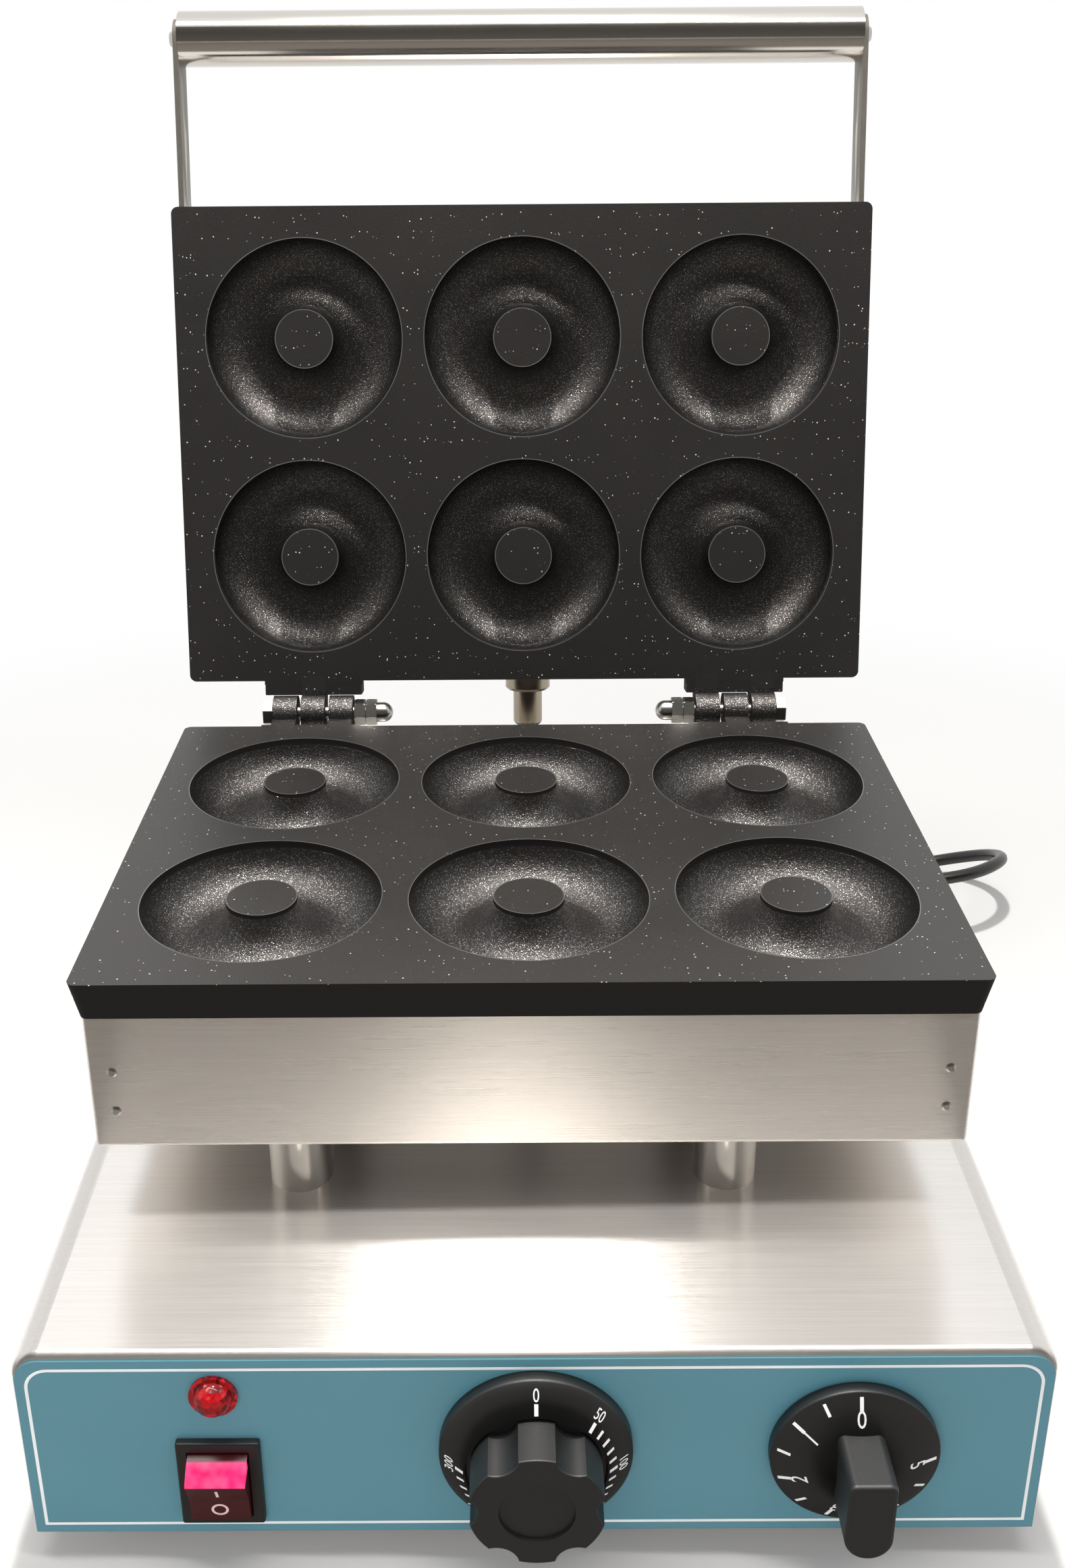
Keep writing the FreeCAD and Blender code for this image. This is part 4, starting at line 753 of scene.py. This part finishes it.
ON_MARK = (0.9, 4.6)
OFF_RADIUS = 2.7
OFF_WIDTH = 0.8
OFF_STEPS = 40


def make_rocker_print():
    """I on the raised half of the rocker, O on the pressed half."""
    pivot, _ = rocker_frame()
    along = rocker_end()
    rise = ROCKER_RADIUS * math.cos(math.radians(ROCKER_CORNER)) - ROCKER_VALLEY
    lean = math.atan2(rise, along)
    tilted = facing_front(*pivot) @ Matrix.Rotation(math.radians(ROCKER_SWING), 4, "X")
    shape = bmesh.new()
    for side in (1, -1):
        middle = Matrix.Translation((0, side * along / 2, ROCKER_VALLEY + rise / 2))
        on_face = tilted @ middle @ Matrix.Rotation(side * lean, 4, "X")
        if side > 0:
            add_bar(shape, ON_MARK, on_face)
        else:
            add_ring(shape, OFF_RADIUS, OFF_WIDTH, on_face, OFF_STEPS)
    piece("rocker_marks", shape, "rocker", PINK_PRINT)


RIM_STEPS = 96
POST_STEPS = 64


def make_cavity_rims():
    """Thin lighter rings at the edges of cavities and posts: painted highlight standing in for light caught
    by their rounded edges.
    """
    for half, (place, body) in plate_places().items():
        shape = bmesh.new()
        for column in (-1, 0, 1):
            for row in (-0.5, 0.5):
                centre = place @ Matrix.Translation((column * CAVITY_ACROSS, row * CAVITY_BACK, 0))
                add_ring(shape, CAVITY_RIM + RIM_LINE, RIM_LINE, centre, RIM_STEPS)
                add_ring(shape, CAVITY_POST, RIM_LINE, centre, POST_STEPS)
        piece(f"{half}_cavity_rims", shape, body, RIM_PAINTED_HIGHLIGHT)


# Lip over the knuckles: its reach is counted from the hinge pin

LIP_FAR = 12.9
LIP_NEAR = 7.6
LIP_WIDTH = 42.6
LIP_THICKNESS = 8.6
LIP_SUNK = 0.05
LIP_ROUND = 0.5


def make_hinge_lip():
    """Two low lips on the lid's casting that reach down close over the knuckles."""
    place, body = plate_places()["upper"]
    hinge = place.inverted() @ joint_place("lid_hinge")
    size = Matrix.Diagonal((LIP_WIDTH, LIP_FAR - LIP_NEAR, LIP_THICKNESS, 1))
    back = hinge.y - (LIP_FAR + LIP_NEAR) / 2
    shape = bmesh.new()
    for side in (-1, 1):
        middle = Matrix.Translation((side * CAVITY_ACROSS, back, -LIP_SUNK - LIP_THICKNESS / 2))
        bmesh.ops.create_cube(shape, size=1, matrix=middle @ size)
    round_off(shape, list(shape.edges), LIP_ROUND, "EDGES", segments=2)
    piece("lid_hinge_lip", shape, body, COATING_UPPER, place)


# Nuts on the hinge bolts: sizes in millimetres

NUT_FLATS = 10.0
NUT_HEIGHT = 5.0
NUT_SEAM = 0.25
NUT_CHAMFER = 0.9
DOME_RADIUS = 4.4
DOME_LENGTH = 2.5
DOME_FRONT = 0.01


def add_nut(shape, middle, length):
    """A hexagon along the hinge with its corners cut back."""
    along = Matrix.Rotation(math.radians(90), 4, "Y")
    corner = NUT_FLATS / math.sqrt(3)
    place = Matrix.Translation(middle) @ along
    made = bmesh.ops.create_cone(
        shape, cap_ends=True, segments=6, radius1=corner, radius2=corner, depth=length, matrix=place
    )
    round_off(shape, made["verts"], NUT_CHAMFER, "VERTICES", segments=2)


def add_dome(shape, start, outward):
    """The rounded end of a cap nut."""
    turn = Matrix.Rotation(math.radians(90 * outward), 4, "Y")
    made = bmesh.ops.create_uvsphere(shape, u_segments=32, v_segments=16, radius=DOME_RADIUS)
    ahead = [v for v in made["verts"] if v.co.z > DOME_FRONT]
    bmesh.ops.translate(shape, verts=ahead, vec=(0, 0, DOME_LENGTH))
    bmesh.ops.transform(shape, matrix=Matrix.Translation(start) @ turn, verts=made["verts"])
    for face in {f for v in made["verts"] for f in v.link_faces}:
        face.smooth = True


def make_hinge_nuts():
    """A plain nut and a cap nut on each bolt, their corners cut back and a fine seam between them."""
    hinge = joint_place("lid_hinge")
    _, reach = span("hinge_nuts")
    plain, capped = bmesh.new(), bmesh.new()
    for side in (-1, 1):
        first = Vector((side * (reach.x - NUT_HEIGHT / 2), hinge.y, hinge.z))
        second = first - Vector((side * NUT_HEIGHT, 0, 0))
        add_nut(plain, first, NUT_HEIGHT - NUT_SEAM)
        add_nut(capped, second, NUT_HEIGHT - NUT_SEAM)
        add_dome(capped, second - Vector((side * NUT_HEIGHT / 2, 0, 0)), -side)
    for name, shape in (("hinge_nuts", plain), ("hinge_cap_nuts", capped)):
        bmesh.ops.recalc_face_normals(shape, faces=shape.faces)
        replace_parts(piece("chamfered_" + name, shape, "base", ZINC), name)


# Cord: the same points as the solid's route, then the coil's turns and the tail to the plug.
# A smooth curve runs inside its points, so the coil's points swell to keep its radius.

CORD_ROUTE = [
    (0, 0, 42),
    (1, 21, 41.5),
    (10, 41, 40),
    (31, 52, 37.5),
    (57, 54, 35.5),
    (84, 51, 34.5),
    (111, 49, 35.5),
    (139, 52.5, 38.5),
    (160, 73, 36),
    (161, 100, 24.5),
    (141, 118, 11.5),
    (109, 118, 4.8),
    (82, 116, 4.7),
    (55, 117, 4.8),
    (29, 116, 4.8),
    (4, 116, 4.9),
]
COIL_TURNS = 1.75
COIL_STEP = 7.4
COIL_LAYER = 7.2
COIL_RADIUS = 44.0
COIL_POINTS = 16
COIL_SWELL = 1.0 + (math.tau / COIL_POINTS) ** 2 / 8
TAIL_LEFT = (0, 18, 36, 54, 68)
TAIL_BACK = (0, 1, 4, 4, 4)
TAIL_RISE = 1.0
PLUG_RADIUS = 18.0


def coil_points(centre):
    """In, up a layer over half a turn, and out again, counter-clockwise from the far side."""
    layer = round(COIL_TURNS * COIL_POINTS)
    climb = COIL_POINTS // 2
    inner = COIL_RADIUS - COIL_STEP * COIL_TURNS
    points = []
    for count in range(layer * 2 + climb + 1):
        if count <= layer:
            radius = COIL_RADIUS - COIL_STEP * count / COIL_POINTS
            height = 0.0
        elif count < layer + climb:
            share = (count - layer) / climb
            radius = inner - COIL_STEP / 4 * math.sin(math.pi * share)
            height = COIL_LAYER * (1 - math.cos(math.pi * share)) / 2
        else:
            radius = inner + COIL_STEP * (count - layer - climb) / COIL_POINTS
            height = COIL_LAYER
        angle = math.pi / 2 + math.tau * count / COIL_POINTS
        swell = radius * COIL_SWELL
        points.append(centre + Vector((swell * math.cos(angle), swell * math.sin(angle), height)))
    return points


def cord_points():
    """The cord's route from the base to the plug, in millimetres."""
    low, high = span("cord_strain_relief")
    leave = Vector(((low.x + high.x) / 2, high.y, (low.z + high.z) / 2))
    points = [Vector((leave.x + right, leave.y + back, height)) for right, back, height in CORD_ROUTE]
    points[0].z = leave.z
    turn_start = points[-1] - Vector((CORD_DIAMETER, 0, 0))
    points += coil_points(turn_start - Vector((0, COIL_RADIUS, 0)))
    tail = points[-1] - Vector((CORD_DIAMETER, 0, 0))
    halfway = (tail.z + PLUG_RADIUS) / 2
    heights = (tail.z, tail.z + TAIL_RISE, halfway, PLUG_RADIUS, PLUG_RADIUS)
    for left, back, height in zip(TAIL_LEFT, TAIL_BACK, heights):
        points.append(Vector((tail.x - left, tail.y + back, height)))
    return points


def make_cord():
    """The mains cord as one smooth curve in place of its solids."""
    points = cord_points()
    curve = bpy.data.curves.new("mains_cord", "CURVE")
    curve.dimensions = "3D"
    curve.bevel_depth = CORD_DIAMETER / 2 * MM
    curve.bevel_resolution = 5
    curve.use_fill_caps = True
    line = curve.splines.new("NURBS")
    line.points.add(len(points) - 1)
    for spot, point in zip(line.points, points):
        spot.co = (*(point * MM), 1)
    line.order_u = 3
    line.use_endpoint_u = True
    line.resolution_u = 6
    curve.materials.append(RUBBER)
    thing = bpy.data.objects.new("mains_cord", curve)
    bpy.context.scene.collection.objects.link(thing)
    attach(thing, "base")
    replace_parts(thing, "power_cord", "cord_coil", "cord_tail")


# Floor, light and camera: sizes and places in metres, power in watts

FLOOR_RADIUS = 8
FLOOR_STEPS = 96
FLOOR_COLOUR = (0.72, 0.72, 0.72)
FLOOR_SHADE = (0.34, 0.8)
ROOM_COLOUR = (0.16, 0.145, 0.13)
MATT = 0.9
ROOM_SIZE = (9.0, 4.0)
ROOM_PLACE = (0, -2.4, 2.0)
TABLE_SIZE = (2.4, 1.874)
TABLE_PLACE = (0, -1.113, 0.002)
WORLD_LEVELS = (0.4, 1.0)
WHITE = (1, 1, 1)
WARM_WHITE = (1, 0.97, 0.93)


def seen_directly(tree):
    """One for what the camera, a reflection or clear material sees, and zero for the light that falls."""
    path = add(tree, "ShaderNodeLightPath").outputs
    either = maths(tree, "MAXIMUM", path["Is Camera Ray"], path["Is Glossy Ray"])
    return maths(tree, "MAXIMUM", either, path["Is Transmission Ray"])


def make_floor():
    """A pale floor that keeps the shadow and turns to plain white further away."""
    bpy.ops.mesh.primitive_circle_add(
        vertices=FLOOR_STEPS, radius=FLOOR_RADIUS, fill_type="NGON", location=(0, 0, 0)
    )
    floor = bpy.context.object
    floor.name = "floor"
    material, tree, shader = new_finish("pale_floor", FLOOR_COLOUR, MATT)
    spot = add(tree, "ShaderNodeTexCoord").outputs["Object"]
    reach = add(tree, "ShaderNodeVectorMath", {0: spot}, operation="LENGTH").outputs["Value"]
    start, end = FLOOR_SHADE
    inputs = {"Value": reach, "From Min": start, "From Max": end}
    fade = add(tree, "ShaderNodeMapRange", inputs, interpolation_type="SMOOTHSTEP").outputs["Result"]
    share = maths(tree, "MULTIPLY", fade, seen_directly(tree))
    white = add(tree, "ShaderNodeEmission")
    mix = add(tree, "ShaderNodeMixShader", {"Fac": share})
    tree.links.new(shader.outputs[0], mix.inputs[1])
    tree.links.new(white.outputs[0], mix.inputs[2])
    tree.links.new(mix.outputs[0], tree.nodes["Material Output"].inputs["Surface"])
    floor.data.materials.append(material)


def make_dark_card(name, size, place, material):
    """A dark part of the room, there only to be reflected."""
    wide, tall = size
    shape = bmesh.new()
    stretch = Matrix.Diagonal((wide, tall, 1, 1))
    bmesh.ops.create_grid(shape, x_segments=1, y_segments=1, size=0.5, matrix=place @ stretch)
    mesh = bpy.data.meshes.new(name)
    shape.to_mesh(mesh)
    shape.free()
    mesh.materials.append(material)
    card = bpy.data.objects.new(name, mesh)
    card.visible_camera = False
    card.visible_diffuse = False
    card.visible_shadow = False
    bpy.context.scene.collection.objects.link(card)


def make_stage():
    """Floor, dark parts of the room, and a white background that casts less light than it shows."""
    make_floor()
    dark, _, _ = new_finish("dark_room", ROOM_COLOUR, MATT)
    upright = Matrix.Rotation(math.pi / 2, 4, "X")
    make_dark_card("room_behind_camera", ROOM_SIZE, Matrix.Translation(ROOM_PLACE) @ upright, dark)
    make_dark_card("table_in_front", TABLE_SIZE, Matrix.Translation(TABLE_PLACE), dark)
    world = bpy.data.worlds.new("studio")
    world.use_nodes = True
    bpy.context.scene.world = world
    tree = world.node_tree
    shader = tree.nodes["Background"]
    feed(tree, shader.inputs["Strength"], spread(tree, seen_directly(tree), *WORLD_LEVELS))
    shader.inputs["Color"].default_value = (*WHITE, 1)


def area_light(name, place, target, wide, tall, power, colour):
    """A flat lamp turned to its target."""
    lamp = bpy.data.lights.new(name, "AREA")
    lamp.shape = "RECTANGLE"
    lamp.size = wide
    lamp.size_y = tall
    lamp.energy = power
    lamp.color = colour
    thing = bpy.data.objects.new(name, lamp)
    thing.location = place
    thing.rotation_euler = (Vector(target) - Vector(place)).to_track_quat("-Z", "Y").to_euler()
    bpy.context.scene.collection.objects.link(thing)
    return thing


def make_lights():
    """A small lamp and a long one overhead, and a soft fill from the front that no steel reflects."""
    area_light("overhead_lamp", place=(-0.01, 0.01, 1.5), target=(0, 0, 0), wide=0.07, tall=0.07,
               power=17, colour=WARM_WHITE)
    area_light("second_lamp", place=(-0.05, -0.3, 1.5), target=(0, -0.1, 0), wide=1.5, tall=0.12,
               power=10, colour=WARM_WHITE)
    fill = area_light("front_fill", place=(-0.3, -1.5, 1.0), target=(0, 0, 0.15), wide=1.4, tall=0.8,
                      power=10, colour=WHITE)
    fill.visible_glossy = False


def make_camera():
    """The lens of the photograph, with its picture set off centre."""
    tilt, turn, roll = (math.radians(a) for a in (LENS_TILT, LENS_TURN, LENS_ROLL))
    ahead = Vector((math.sin(turn) * math.cos(tilt), math.cos(turn) * math.cos(tilt), -math.sin(tilt)))
    level = Vector((math.cos(turn), -math.sin(turn), 0))
    upright = level.cross(ahead)
    right = math.cos(roll) * level + math.sin(roll) * upright
    up = math.cos(roll) * upright - math.sin(roll) * level
    data = bpy.data.cameras.new("photo_camera")
    data.sensor_width = FILM_WIDTH
    data.lens = FOCAL_PIXELS * FILM_WIDTH / PHOTO_HEIGHT
    data.shift_x = (PHOTO_WIDTH / 2 - PICTURE_CENTRE[0]) / PHOTO_HEIGHT
    data.shift_y = (PICTURE_CENTRE[1] - PHOTO_HEIGHT / 2) / PHOTO_HEIGHT
    data.clip_start = 0.01
    data.clip_end = 50
    camera = bpy.data.objects.new("photo_camera", data)
    camera.matrix_world = Matrix((right, up, -ahead)).transposed().to_4x4()
    camera.location = Vector(LENS_PLACE) * MM
    bpy.context.scene.collection.objects.link(camera)
    bpy.context.scene.camera = camera


dress_nodes()
make_panel_border()
make_thermostat_print()
make_timer_print()
make_rocker_print()
make_cavity_rims()
make_hinge_lip()
make_hinge_nuts()
make_cord()
make_stage()
make_lights()
make_camera()
bpy.context.scene.view_settings.view_transform = "Standard"
